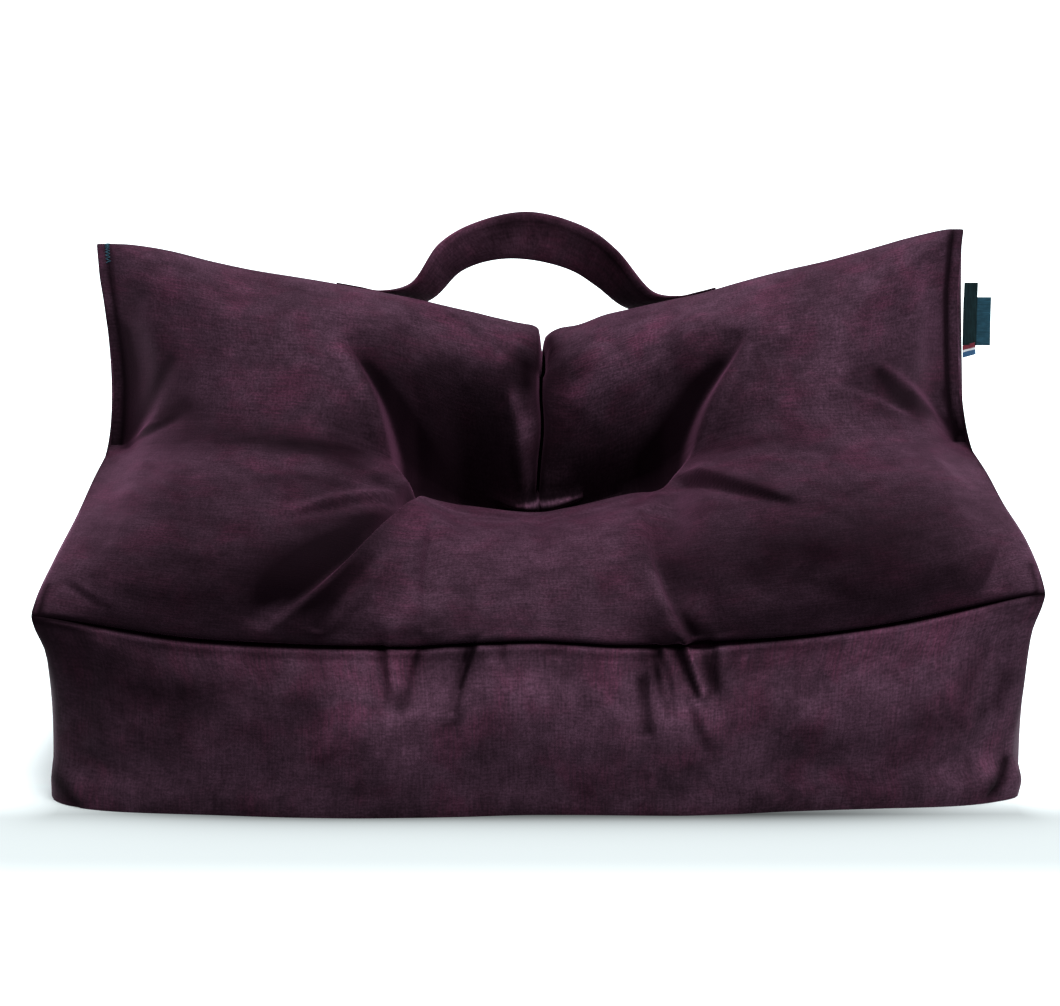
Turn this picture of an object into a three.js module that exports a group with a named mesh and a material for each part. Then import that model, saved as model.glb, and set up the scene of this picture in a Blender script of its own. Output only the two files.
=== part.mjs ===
// Lumbar cushion: a filled wedge with a low front wall, a seat that rises into two back lobes, a deep tuft
// between them, sewn fins at the two upper ends, a carry strap behind the top edge and blank edge tabs.
// Millimetres, +Z up. The front looks along -Y and the origin is the middle of the base.
import * as THREE from 'three';

// Driving dimensions
const HALF_WIDTH = 300;
const BACK_Y = 168;
const BACK_LEVEL = 150;
const BACK_TUCK = 6;
const RIDGE_Y = 98;
const TOP_CORNER_Y = 96;
const SIDE_BULGE = 16;
const DRAWN_HALF = 288;
const GUSSET_FILL_DEPTH = 120;
const FIN_DEPTH = 13;
const FIN_THICKNESS = 4;
const FRONT_CORNER_Y = -142;
const BACK_CORNER_Y = 146;
const SEAM_CORNER_Y = -160;
const SEAM_GROOVE_DEPTH = 3.5;
const SEAM_GROOVE_WIDTH = 5;
const TUFT_X = 3;
const FOLD_EDGE = 8;
const FOLD_RUN_OUT = 10;
const TROUGH_POWER = 1.3;
const STRAP_THICKNESS = 5;
const STRAP_EDGE_SHARE = 0.55;
const STRAP_LIFT = 0.4;
const TAB_THICKNESS = 1;
const PIECE_GAP = 0.3;

// Places up the cloth, from the front floor edge over the top to the back floor edge
const LEVEL = { frontFloor: 0, seam: 1, valley: 2, ridge: 3, back: 4, backFloor: 5 };

// Where up the cloth the two layers come together into the fin, and where its stitch line starts and ends
const FIN_CLOSES = { from: 1.35, to: 2, openFrom: 4, openTo: 4.6 };
const FIN_STITCH = { from: 1.85, to: 2.05, openFrom: 3.95, openTo: 4.15 };

// Where up the cloth's front edge the side gussets go from swollen to drawn in
const GUSSET_DRAWN = { from: 1, to: 1.5 };

// How roundly the filled section falls to the sewn end: a higher power keeps it full for longer
const WALL_ROUND = { power: 8, root: 0.6 };
const FIN_ROUND = { power: 6, root: 0.62 };

// The valley between seat and back is sharp at the tuft, and is rounded off beside it
const VALLEY_ROUND = { reach: 0.16, from: 70, full: 160, fadeFrom: 270, fadeTo: 292 };
const ROUND_WEIGHTS = [1, 2, 3, 2, 1];

// The spans of a section that are the same all along: the direction in degrees (0 backwards, 90 up) and the
// pull in millimetres with which the cloth leaves its start, and then with which it comes to its end
const SPANS = {
  wall: [104, 36, 66, 40],
  backTop: [-4, 58, -88, 60],
  backLow: [-88, 50, -112, 40],
  endWall: [100, 34, 100, 34],
  gussetFront: [26, 80, 12, 70],
  finFront: [80, 60, 5, 3],
  finBack: [-5, 3, -100, 60],
  gussetBack: [-70, 60, -80, 50],
};
const RIDGE_ANGLE = 4;

// One row for each section across the cushion
const SECTIONS = {
  columns: ['across', 'floorY', 'seamY', 'seamZ', 'valleyY', 'valleyZ', 'ridgeZ'],
  rows: [
    [-300, -173, -160, 124, 60, 190, 322],
    [-262, -180, -164, 117, -16, 211, 317],
    [-200, -187, -170, 110, -54, 217, 303],
    [-150, -193, -173, 108, -46, 213, 296],
    [-110, -195, -174, 108, -12, 197, 289],
    [-80, -194, -175, 108, 34, 172, 283],
    [-50, -192, -176, 110, 74, 146, 276],
    [0, -187, -176, 112, 88, 134, 265],
    [20, -187, -176, 111, 85, 137, 264],
    [50, -188, -175, 109, 74, 146, 273],
    [84, -189, -174, 109, 34, 176, 281],
    [115, -186, -173, 111, -12, 201, 288],
    [155, -179, -171, 115, -46, 216, 298],
    [205, -173, -168, 121, -54, 220, 308],
    [262, -167, -162, 131, -16, 214, 322],
    [300, -157, -158, 139, 60, 192, 332],
  ],
};

// The spans that change across the cushion: the cloth leaves the seam, comes to the valley, leaves it again
// and comes to the ridge
const CURVES = {
  columns: [
    'fromMiddle', 'seamAngle', 'seamPull', 'seatAngle', 'seatPull', 'lobeAngle', 'lobePull', 'ridgePull',
  ],
  rows: [
    [0, 84, 52, -45, 46, 118, 96, 54],
    [60, 88, 54, -30, 48, 112, 90, 55],
    [100, 96, 58, 6, 48, 82, 70, 58],
    [140, 100, 60, 20, 46, 52, 58, 62],
    [200, 100, 60, 24, 46, 42, 58, 68],
    [300, 92, 60, 24, 54, 66, 48, 46],
  ],
};

// How far the cloth reaches to each side, up the girth
const REACH = {
  columns: ['up', 'left', 'right'],
  rows: [
    [0, 303, 303],
    [0.1, 305, 305],
    [0.25, 303, 302],
    [0.5, 304, 304],
    [1, 314, 314],
    [1.25, 308, 311],
    [1.5, 299, 302],
    [1.75, 293, 297],
    [2, 286.5, 289],
    [2.2, 286, 286.6],
    [2.5, 292.5, 285],
    [2.7, 297, 286.4],
    [3, 299, 289],
    [3.5, 289, 287],
    [4, 287, 288],
    [4.5, 300, 300],
    [5, 303, 303],
  ],
};

// Length along the cloth to each level, for placing folds
const GIRTH = {
  columns: ['up', 'length'],
  rows: [
    [0, 0],
    [1, 112],
    [2, 340],
    [3, 490],
    [4, 640],
    [5, 830],
  ],
};

// The upright crease between the two lobes: the lobes' radius on each side and the share of it drawn in
const CREASE = {
  columns: ['up', 'left', 'right', 'share'],
  rows: [
    [2, 20, 20, 0],
    [2.12, 30, 30, 0.7],
    [2.4, 32, 34, 1],
    [2.75, 26, 34, 0.95],
    [3, 13, 24, 0.8],
    [3.3, 20, 24, 0.4],
    [3.8, 26, 26, 0.1],
    [4.2, 26, 26, 0],
  ],
};

// The main folds, each from its deep end to the other: a trough on one side of its line and a lip on the other
const FOLDS = {
  columns: [
    'across', 'up', 'toAcross', 'toUp', 'bow', 'depth', 'trough', 'toTrough', 'lip', 'lipWidth', 'side', 'fade',
  ],
  rows: [
    [-84, 1.84, -134, 2.52, -7, 24, 46, 18, 5, 16, 1, 0.7],
    [89, 1.84, 150, 2.52, 7, 24, 46, 18, 4, 16, -1, 0.7],
    [-82, 1.74, -170, 1.02, 6, 15, 26, 40, 5, 18, 1, 0.45],
    [87, 1, 76, 1.66, 3, 8, 34, 46, 3, 16, 1, 0.7],
    [96, 1.79, 170, 1.5, 5, 7, 16, 24, 3, 16, 1, 0.8],
    [-90, 1.82, -200, 1.96, -5, 6, 16, 24, 2, 22, 1, 0.7],
    [100, 1.86, 196, 1.97, 5, 5, 14, 22, 2, 22, -1, 0.7],
    [-284, 1.99, -250, 2.34, 3, 6, 10, 12, 2.5, 10, -1, 0.8],
    [290, 2.03, 232, 2.32, 4, 9, 13, 12, 3.5, 12, 1, 0.7],
  ],
};

// The free arch of the strap, from left to right: its outer and its inner edge
const STRAP_ARCH = {
  columns: ['outerX', 'outerY', 'outerZ', 'innerX', 'innerY', 'innerZ'],
  rows: [
    [-88, 114, 293, -66, 132, 283],
    [-67, 111, 313, -50, 124, 299],
    [-44, 111, 332, -31, 117, 308],
    [-6, 112, 341, -6, 112, 309],
    [34, 111, 331, 23, 117, 303],
    [54, 111, 318, 41, 124, 293],
    [81, 114, 291, 60, 132, 279],
  ],
};

// Where the strap's tails lie on the back: their places across it, and their two edges up the cloth
const STRAP_TAILS = { left: [-138, -122, -108], right: [101, 113, 127], outerUp: 3.07, innerUp: 3.32 };

// The tabs sewn into the right fin's edge: where along it they start and end, how far they stand out and
// how far they lie in front of (negative) or behind the middle of the fin
const TABS = {
  columns: ['name', 'up', 'toUp', 'proud', 'offset', 'colour'],
  rows: [
    ['edge_tab', 2.34, 2.58, 10, -0.9, 0x0c0d11],
    ['care_tab', 2.34, 2.52, 19, 0.9, 0x1d2430],
  ],
};
const RIBBON = { up: 2.295, toUp: 2.325, height: 7, proud: 9, thickness: 2.4, colour: 0x9a2f35 };

const VELVET_COLOUR = 0x3a2530;
const STRAP_COLOUR = 0x352029;
const VELVET_ROUGHNESS = 0.85;
const TAPE_ROUGHNESS = 0.6;

// Grid lines: the number of steps up to each place
const ACROSS_STEPS = [[48, 10], [112, 9], [210, 9], [270, 6], [300, 5]];
const FRONT_STEPS = [[0.93, 5], [1, 1], [1.04, 1], [2, 13], [3, 12]];
const BACK_STEPS = [[4, 12], [5, 20]];
const SIDE_STEPS = 6;
const NEARBY = 0.004;
const STRAP_STEPS = 48;
const STRAP_ACROSS_STEPS = 4;

const clamp01 = (value) => THREE.MathUtils.clamp(value, 0, 1);
const mix = THREE.MathUtils.lerp;
const ease = (value, from, to) => THREE.MathUtils.smoothstep(value, from, to);

/** Reads a table's column at a place along its first column, on a smooth curve that never overshoots. */
function read(table, column, place) {
  const xs = table.rows.map((row) => row[0]);
  const values = table.rows.map((row) => row[table.columns.indexOf(column)]);
  const last = xs.length - 1;
  const x = THREE.MathUtils.clamp(place, xs[0], xs[last]);
  let i = 0;
  while (i < last - 1 && x > xs[i + 1]) i += 1;
  const rise = (k) => (values[k + 1] - values[k]) / (xs[k + 1] - xs[k]);
  const slope = (k) => {
    if (k === 0) return rise(0);
    if (k === last) return rise(last - 1);
    const before = rise(k - 1);
    const after = rise(k);
    if (before * after <= 0) return 0;
    const near = xs[k] - xs[k - 1];
    const far = xs[k + 1] - xs[k];
    return (3 * (near + far)) / ((2 * far + near) / before + (far + 2 * near) / after);
  };
  const span = xs[i + 1] - xs[i];
  const t = (x - xs[i]) / span;
  const left = (1 + 2 * t) * (1 - t) ** 2 * values[i] + t * (1 - t) ** 2 * span * slope(i);
  return left + t * t * (3 - 2 * t) * values[i + 1] + t * t * (t - 1) * span * slope(i + 1);
}

/** A table's rows as objects with its columns' names. */
function named(table) {
  return table.rows.map((row) => Object.fromEntries(table.columns.map((column, i) => [column, row[i]])));
}

/** Splits a line into steps: a list of [end, steps] pairs from a start place. */
function stops(start, steps) {
  const places = [start];
  for (const [end, count] of steps) {
    const from = places.at(-1);
    for (let i = 1; i <= count; i += 1) places.push(mix(from, end, i / count));
  }
  return places;
}

/** A point (y, z) of the cloth between two places in a section. */
function span(from, to, [fromAngle, fromPull, toAngle, toPull], t) {
  const arm = (degrees, pull) => {
    const angle = THREE.MathUtils.degToRad(degrees);
    return new THREE.Vector2(pull * Math.cos(angle), pull * Math.sin(angle));
  };
  const start = from.clone().add(arm(fromAngle, fromPull));
  const end = to.clone().sub(arm(toAngle, toPull));
  return new THREE.CubicBezierCurve(from, start, end, to).getPoint(clamp01(t));
}

/** The filled section at a place across the cushion, as a point (y, z). */
function filledSection(across, up) {
  const at = (column) => read(SECTIONS, column, across);
  const bend = (column) => read(CURVES, column, Math.abs(across));
  const floor = new THREE.Vector2(at('floorY'), 0);
  const seam = new THREE.Vector2(at('seamY'), at('seamZ'));
  const valley = new THREE.Vector2(at('valleyY'), at('valleyZ'));
  const ridge = new THREE.Vector2(RIDGE_Y, at('ridgeZ'));
  const back = new THREE.Vector2(BACK_Y, BACK_LEVEL);
  const backFloor = new THREE.Vector2(BACK_Y - BACK_TUCK, 0);
  if (up <= LEVEL.seam) return span(floor, seam, SPANS.wall, up);
  if (up <= LEVEL.valley) {
    const seat = [bend('seamAngle'), bend('seamPull'), bend('seatAngle'), bend('seatPull')];
    return span(seam, valley, seat, up - LEVEL.seam);
  }
  if (up <= LEVEL.ridge) {
    const lobe = [bend('lobeAngle'), bend('lobePull'), RIDGE_ANGLE, bend('ridgePull')];
    return span(valley, ridge, lobe, up - LEVEL.valley);
  }
  if (up <= LEVEL.back) return span(ridge, back, SPANS.backTop, up - LEVEL.ridge);
  return span(back, backFloor, SPANS.backLow, up - LEVEL.back);
}

/** The sewn end of the cloth on one side (-1 or 1), as a point (y, z): corner, gusset edge and fin. */
function sewnEnd(side, up) {
  const at = (column) => read(SECTIONS, column, side * HALF_WIDTH);
  const floor = new THREE.Vector2(FRONT_CORNER_Y, 0);
  const seam = new THREE.Vector2(SEAM_CORNER_Y, at('seamZ'));
  const finFront = new THREE.Vector2(at('valleyY') - FIN_THICKNESS / 2, at('valleyZ'));
  const finBack = new THREE.Vector2(at('valleyY') + FIN_THICKNESS / 2, at('valleyZ'));
  const corner = new THREE.Vector2(TOP_CORNER_Y, at('ridgeZ'));
  const backFloor = new THREE.Vector2(BACK_CORNER_Y, 0);
  if (up <= LEVEL.seam) return span(floor, seam, SPANS.endWall, up);
  if (up <= LEVEL.valley) return span(seam, finFront, SPANS.gussetFront, up - LEVEL.seam);
  if (up <= LEVEL.ridge) return span(finFront, corner, SPANS.finFront, up - LEVEL.valley);
  if (up <= LEVEL.back) return span(corner, finBack, SPANS.finBack, up - LEVEL.ridge);
  return span(finBack, backFloor, SPANS.gussetBack, up - LEVEL.back);
}

/** A share that rises up the front of the cloth and falls again down its back. */
function between(up, { from, to, openFrom, openTo }) {
  return ease(up, from, to) * (1 - ease(up, openFrom, openTo));
}

/** The smooth form: the filled section, drawn in to the sewn end at each side. */
function smoothForm(across, up) {
  const share = across / HALF_WIDTH;
  const side = share < 0 ? -1 : 1;
  const stitch = 1 - (FIN_DEPTH / HALF_WIDTH) * between(up, FIN_STITCH);
  const towardsEnd = clamp01(Math.abs(share) / stitch);
  const onWall = (1 - towardsEnd ** WALL_ROUND.power) ** WALL_ROUND.root;
  const onFin = (1 - towardsEnd ** FIN_ROUND.power) ** FIN_ROUND.root;
  const filled = mix(onWall, onFin, between(up, FIN_CLOSES));
  const section = sewnEnd(side, up).lerp(filledSection(across, up), filled);
  return new THREE.Vector3(share * read(REACH, side < 0 ? 'left' : 'right', up), section.x, section.y);
}

/** The smooth form with the valley between seat and back rounded off beside the tuft. */
function softForm(across, up) {
  const fromMiddle = Math.abs(across);
  const { reach, from, full, fadeFrom, fadeTo } = VALLEY_ROUND;
  const beside = ease(fromMiddle, from, full) * (1 - ease(fromMiddle, fadeFrom, fadeTo));
  const near = 1 - clamp01(Math.abs(up - LEVEL.valley) / (2 * reach));
  const total = ROUND_WEIGHTS.reduce((sum, weight) => sum + weight);
  const middle = (ROUND_WEIGHTS.length - 1) / 2;
  const place = new THREE.Vector3();
  ROUND_WEIGHTS.forEach((weight, i) => {
    const away = reach * beside * near * (i / middle - 1);
    const at = THREE.MathUtils.clamp(up + away, LEVEL.frontFloor, LEVEL.backFloor);
    place.addScaledVector(smoothForm(across, at), weight / total);
  });
  return place;
}

/** How far the cloth is drawn in along the upright crease between the lobes. */
function creaseDepth(x, up) {
  const radius = read(CREASE, x < TUFT_X ? 'left' : 'right', up);
  const near = 1 - clamp01(Math.abs(x - TUFT_X) / radius);
  return read(CREASE, 'share', up) * radius * (1 - Math.sqrt(1 - near * near));
}

/** How far the folds raise the cloth, less where they draw it in. */
function foldHeight(across, up) {
  const length = (place) => read(GIRTH, 'length', place);
  let height = 0;
  for (const fold of named(FOLDS)) {
    const start = new THREE.Vector2(fold.across, length(fold.up));
    const line = new THREE.Vector2(fold.toAcross, length(fold.toUp)).sub(start);
    const here = new THREE.Vector2(across, length(up)).sub(start);
    const along = here.dot(line) / line.lengthSq();
    const t = clamp01(along);
    const bow = fold.bow * 4 * t * (1 - t);
    const aside = fold.side * (here.cross(line) / line.length() - bow);
    const past = Math.max(-along, along - 1, 0) * line.length();
    const strength = (1 - t) ** fold.fade * Math.exp(-((past / FOLD_RUN_OUT) ** 2));
    const troughShare = Math.max(aside, 0) / mix(fold.trough, fold.toTrough, t);
    const trough = -fold.depth * Math.exp(-(troughShare ** TROUGH_POWER));
    const lip = fold.lip * Math.exp(-((Math.min(aside, 0) / fold.lipWidth) ** 2));
    height += strength * mix(lip, trough, ease(aside, -FOLD_EDGE, FOLD_EDGE));
  }
  return height * (1 - ease(Math.abs(across), HALF_WIDTH - 3 * FIN_DEPTH, HALF_WIDTH - FIN_DEPTH));
}

/** The finished cloth: its place, and its outward direction within the section. */
function cloth(across, up) {
  const place = softForm(across, up);
  const before = softForm(across, Math.max(up - NEARBY, LEVEL.frontFloor));
  const after = softForm(across, Math.min(up + NEARBY, LEVEL.backFloor));
  const outward = new THREE.Vector3(0, before.z - after.z, after.y - before.y).normalize();
  const fromSeam = (read(GIRTH, 'length', up) - read(GIRTH, 'length', LEVEL.seam)) / SEAM_GROOVE_WIDTH;
  const groove = SEAM_GROOVE_DEPTH * Math.exp(-(fromSeam ** 2));
  place.addScaledVector(outward, foldHeight(across, up) - creaseDepth(place.x, up) - groove);
  return { place, outward };
}

/** A closed body from points and faces of three or four corners that turn outwards. */
function bodyFrom(points, faces) {
  const geometry = new THREE.BufferGeometry().setFromPoints(points);
  geometry.setIndex(faces.flatMap(([a, b, c, d]) => (d === undefined ? [a, b, c] : [a, b, c, a, c, d])));
  geometry.computeVertexNormals();
  return geometry;
}

/** The filled body: the cloth from floor to floor, the two side gussets with their fins, and the base. */
function cushionGeometry() {
  const half = stops(0, ACROSS_STEPS);
  const across = [...half.slice(1).reverse().map((place) => -place), ...half];
  const front = stops(LEVEL.frontFloor, FRONT_STEPS);
  const ups = [...front, ...stops(LEVEL.ridge, BACK_STEPS).slice(1)];
  const width = across.length;
  const lastRow = ups.length - 1;
  const ridgeRow = front.length - 1;
  const points = ups.flatMap((up) => across.map((place) => cloth(place, up).place));
  for (const row of [0, lastRow]) {
    for (let j = 0; j < width; j += 1) points[row * width + j].z = 0;
  }
  const faces = [];
  for (let i = 0; i <= lastRow; i += 1) {
    const next = i === lastRow ? 0 : i + 1;
    for (let j = 0; j + 1 < width; j += 1) {
      faces.push([i * width + j, i * width + j + 1, next * width + j + 1, next * width + j]);
    }
  }
  for (const side of [-1, 1]) {
    const column = side < 0 ? 0 : width - 1;
    const rungs = [];
    for (let i = 0; i < ridgeRow; i += 1) {
      const swell = 1 - ease(front[i], GUSSET_DRAWN.from, GUSSET_DRAWN.to);
      const fullness = mix(DRAWN_HALF, HALF_WIDTH, swell);
      const frontIndex = i * width + column;
      const backIndex = (lastRow - i) * width + column;
      const depth = points[backIndex].y - points[frontIndex].y;
      const rung = [frontIndex];
      for (let k = 1; k < SIDE_STEPS; k += 1) {
        const share = k / SIDE_STEPS;
        const point = points[frontIndex].clone().lerp(points[backIndex], share);
        const flare = points[frontIndex].x * (1 - share) ** 3 + points[backIndex].x * share ** 3;
        const rest = 1 - (1 - share) ** 3 - share ** 3;
        const filled = flare + side * (fullness * rest + SIDE_BULGE * swell * Math.sin(Math.PI * share));
        point.x = mix(point.x, filled, clamp01(depth / GUSSET_FILL_DEPTH));
        rung.push(points.push(point) - 1);
      }
      rungs.push([...rung, backIndex]);
    }
    const turned = (face) => faces.push(side > 0 ? face : face.reverse());
    for (let i = 0; i + 1 < ridgeRow; i += 1) {
      for (let k = 0; k < SIDE_STEPS; k += 1) {
        turned([rungs[i][k], rungs[i][k + 1], rungs[i + 1][k + 1], rungs[i + 1][k]]);
      }
    }
    const corner = ridgeRow * width + column;
    for (let k = 0; k < SIDE_STEPS; k += 1) turned([rungs.at(-1)[k], rungs.at(-1)[k + 1], corner]);
    for (let k = 1; k < SIDE_STEPS; k += 1) turned([rungs[0][0], rungs[0][k + 1], rungs[0][k]]);
  }
  return bodyFrom(points, faces);
}

/** The carry strap: tails that lie on the back below the ridge, and a free arch between them. */
function strapGeometry() {
  const onBack = (across, share) => {
    const { place, outward } = cloth(across, mix(STRAP_TAILS.outerUp, STRAP_TAILS.innerUp, share));
    return place.addScaledVector(outward, PIECE_GAP + STRAP_LIFT + STRAP_THICKNESS / 2);
  };
  const onArch = (row, share) => {
    const outer = new THREE.Vector3(row.outerX, row.outerY, row.outerZ);
    return outer.lerp(new THREE.Vector3(row.innerX, row.innerY, row.innerZ), share);
  };
  const lines = [];
  for (let k = 0; k <= STRAP_ACROSS_STEPS; k += 1) {
    const share = k / STRAP_ACROSS_STEPS;
    const left = STRAP_TAILS.left.map((across) => onBack(across, share));
    const right = STRAP_TAILS.right.map((across) => onBack(across, share));
    const arch = named(STRAP_ARCH).map((row) => onArch(row, share));
    lines.push(new THREE.CatmullRomCurve3([...left, ...arch, ...right], false, 'centripetal'));
  }
  const points = [];
  const faces = [];
  const around = 2 * (STRAP_ACROSS_STEPS + 1);
  for (let i = 0; i <= STRAP_STEPS; i += 1) {
    const middle = lines.map((line) => line.getPoint(i / STRAP_STEPS));
    const along = lines[STRAP_ACROSS_STEPS / 2].getTangent(i / STRAP_STEPS);
    const offset = (k, sign) => {
      const wide = middle[Math.min(k + 1, STRAP_ACROSS_STEPS)].clone().sub(middle[Math.max(k - 1, 0)]);
      const outward = along.clone().cross(wide).normalize();
      const edge = k === 0 || k === STRAP_ACROSS_STEPS ? STRAP_EDGE_SHARE : 1;
      return middle[k].clone().addScaledVector(outward, (sign * edge * STRAP_THICKNESS) / 2);
    };
    for (let k = 0; k <= STRAP_ACROSS_STEPS; k += 1) points.push(offset(k, 1));
    for (let k = STRAP_ACROSS_STEPS; k >= 0; k -= 1) points.push(offset(k, -1));
  }
  for (let i = 0; i < STRAP_STEPS; i += 1) {
    for (let k = 0; k < around; k += 1) {
      const next = (k + 1) % around;
      faces.push([i * around + k, (i + 1) * around + k, (i + 1) * around + next, i * around + next]);
    }
  }
  const end = STRAP_STEPS * around;
  for (let k = 0; k < STRAP_ACROSS_STEPS; k += 1) {
    const mirror = around - 1 - k;
    faces.push([k, k + 1, mirror - 1, mirror]);
    faces.push([end + mirror, end + mirror - 1, end + k + 1, end + k]);
  }
  return bodyFrom(points, faces);
}

/** The right fin's outer edge at a place up it, in the middle of its thickness. */
function finEdge(up) {
  const front = smoothForm(HALF_WIDTH, up);
  const back = smoothForm(HALF_WIDTH, 2 * LEVEL.ridge - up);
  return new THREE.Vector3(Math.max(front.x, back.x), (front.y + back.y) / 2, front.z);
}

/** Puts a piece against the right fin's edge, standing out from it and leaning with it. */
function seatOnFin(mesh, from, to, offset) {
  const low = finEdge(from);
  const high = finEdge(to);
  const lean = Math.atan2(high.y - low.y, high.z - low.z);
  mesh.rotation.x = -lean;
  mesh.position.copy(low).lerp(high, 0.5);
  mesh.position.x = Math.max(low.x, high.x) + PIECE_GAP;
  mesh.position.y += offset * Math.cos(lean);
  mesh.position.z -= offset * Math.sin(lean);
}

/** A named mesh in a cloth of one colour. */
function clothMesh(name, geometry, colour, roughness) {
  const material = new THREE.MeshStandardMaterial({ color: colour, roughness, metalness: 0 });
  const mesh = new THREE.Mesh(geometry, material);
  mesh.name = name;
  return mesh;
}

/** A flat blank tab that stands out of the right fin's edge. */
function tabMesh(tab) {
  const height = finEdge(tab.toUp).distanceTo(finEdge(tab.up));
  const geometry = new THREE.BoxGeometry(tab.proud, TAB_THICKNESS, height).translate(tab.proud / 2, 0, 0);
  const mesh = clothMesh(tab.name, geometry, tab.colour, TAPE_ROUGHNESS);
  seatOnFin(mesh, tab.up, tab.toUp, tab.offset);
  return mesh;
}

/** A short ribbon folded over on itself, below the tabs. */
function ribbonMesh() {
  const radius = RIBBON.thickness / 2;
  const outline = new THREE.Shape();
  outline.moveTo(0, -radius);
  outline.lineTo(RIBBON.proud - radius, -radius);
  outline.absarc(RIBBON.proud - radius, 0, radius, -Math.PI / 2, Math.PI / 2, false);
  outline.lineTo(0, radius);
  outline.closePath();
  const options = { depth: RIBBON.height, bevelEnabled: false, curveSegments: 8 };
  const geometry = new THREE.ExtrudeGeometry(outline, options);
  geometry.translate(0, 0, -RIBBON.height / 2);
  const mesh = clothMesh('ribbon_tab', geometry, RIBBON.colour, TAPE_ROUGHNESS);
  seatOnFin(mesh, RIBBON.up, RIBBON.toUp, 0);
  return mesh;
}

const cushion = new THREE.Group();
cushion.add(clothMesh('cushion_body', cushionGeometry(), VELVET_COLOUR, VELVET_ROUGHNESS));
cushion.add(clothMesh('carry_strap', strapGeometry(), STRAP_COLOUR, VELVET_ROUGHNESS));
cushion.add(...named(TABS).map(tabMesh), ribbonMesh());

export default cushion;
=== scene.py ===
"""A filled velvet lumbar cushion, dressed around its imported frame.

The cushion has a low front wall, a seat that rises into two back lobes, a deep tuft between the lobes,
sewn fins at the two upper ends, a carry strap behind the top edge and blank tabs in the right fin's edge.
The cloth's form is worked out in millimetres; every mesh is in metres, in the frame's own axes (+Z up, the
front looks along -Y).
"""
import logging
import math
from dataclasses import dataclass
from enum import Enum
from types import SimpleNamespace

import bpy
import numpy as np
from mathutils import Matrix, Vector


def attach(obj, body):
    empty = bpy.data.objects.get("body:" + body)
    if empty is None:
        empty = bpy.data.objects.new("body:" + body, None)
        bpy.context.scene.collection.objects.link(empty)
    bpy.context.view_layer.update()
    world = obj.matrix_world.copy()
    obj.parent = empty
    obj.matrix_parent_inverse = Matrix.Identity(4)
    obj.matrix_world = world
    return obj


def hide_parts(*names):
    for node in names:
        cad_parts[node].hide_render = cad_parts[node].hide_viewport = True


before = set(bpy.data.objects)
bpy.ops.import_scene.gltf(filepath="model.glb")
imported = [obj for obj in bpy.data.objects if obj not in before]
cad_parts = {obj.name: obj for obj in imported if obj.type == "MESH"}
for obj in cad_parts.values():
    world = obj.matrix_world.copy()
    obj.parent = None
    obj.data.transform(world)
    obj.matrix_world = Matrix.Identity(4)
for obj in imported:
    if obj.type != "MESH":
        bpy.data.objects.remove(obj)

LOG = logging.getLogger("cushion")
BODY = "root"
MM = 0.001
TINY = 1e-9
ROUND_ANGLE = 60.0
CLOTH_MAP = "cloth"
# The point attribute that holds the painted light and shade of the velvets.
PAINTED_LIGHT = "pile"

Pair = tuple[float, float]
Triple = tuple[float, float, float]
Colour = Triple
Rises = tuple[Pair, Pair]
Pull = tuple[float, float, float, float]
Steps = tuple[tuple[float, int], ...]
Grid = np.ndarray
Piece = bpy.types.Object
Material = bpy.types.Material
Socket = bpy.types.NodeSocket


class Level:
    """Places up the cloth, from the front floor edge over the top to the back floor edge."""

    FRONT_FLOOR = 0.0
    SEAM = 1.0
    VALLEY = 2.0
    RIDGE = 3.0
    BACK = 4.0
    BACK_FLOOR = 5.0


class Weave(Enum):
    """The way the velvet's fine streaks run: the stretch of the threads along them, and of those across."""

    ACROSS = ((55, 760, 1), (760, 120, 1))
    UP = ((760, 55, 1), (120, 760, 1))


class Panel(Enum):
    """The cushion's panels, by their material index, and the painted shade: a near-black velvet without
    sheen, painted where shade falls in the crease and the front seam.
    """

    TOP = 0
    WALL = 1
    FOLD = 2


@dataclass(frozen=True)
class Table:
    """Numbers in named columns, read on a smooth curve along the first column."""

    columns: tuple[str, ...]
    rows: tuple[tuple[float, ...], ...]

    def column(self, name: str) -> Grid:
        """All the values in a column."""
        return np.array([row[self.columns.index(name)] for row in self.rows], float)

    def records(self) -> list[SimpleNamespace]:
        """The rows, each with its columns' names."""
        return [SimpleNamespace(**dict(zip(self.columns, row))) for row in self.rows]

    def read(self, name: str, place: Grid) -> Grid:
        """Reads a column on a monotone cubic curve, which never overshoots its rows.

        Args:
            name: the column to read.
            place: places along the first column.

        Returns:
            The column's value at each place.
        """
        xs, values = self.column(self.columns[0]), self.column(name)
        place = np.clip(np.asarray(place, float), xs[0], xs[-1])
        gaps = np.diff(xs)
        rises = np.diff(values) / gaps
        before, after = rises[:-1], rises[1:]
        same_way = before * after > 0
        near, far = 2 * gaps[1:] + gaps[:-1], gaps[1:] + 2 * gaps[:-1]
        shares = near / np.where(same_way, before, 1) + far / np.where(same_way, after, 1)
        inner = np.where(same_way, (near + far) / np.where(same_way, shares, 1), 0)
        slopes = np.concatenate([rises[:1], inner, rises[-1:]])
        i = np.clip(np.searchsorted(xs, place) - 1, 0, len(gaps) - 1)
        leave, come = gaps[i] * slopes[i], gaps[i] * slopes[i + 1]
        return hermite((place - xs[i]) / gaps[i], values[i], values[i + 1], leave, come)

    def at(self, place: Grid) -> SimpleNamespace:
        """All the columns, read at places along the first."""
        return SimpleNamespace(**{name: self.read(name, place) for name in self.columns[1:]})


def hermite(t: Grid, start: Grid, end: Grid, leave: Grid, come: Grid) -> Grid:
    """A cubic curve at shares t of its way, with its slopes as it leaves the start and comes to the end."""
    first = (1 + 2 * t) * (1 - t) ** 2 * start + t * (1 - t) ** 2 * leave
    return first + t * t * (3 - 2 * t) * end + t * t * (t - 1) * come


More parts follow.
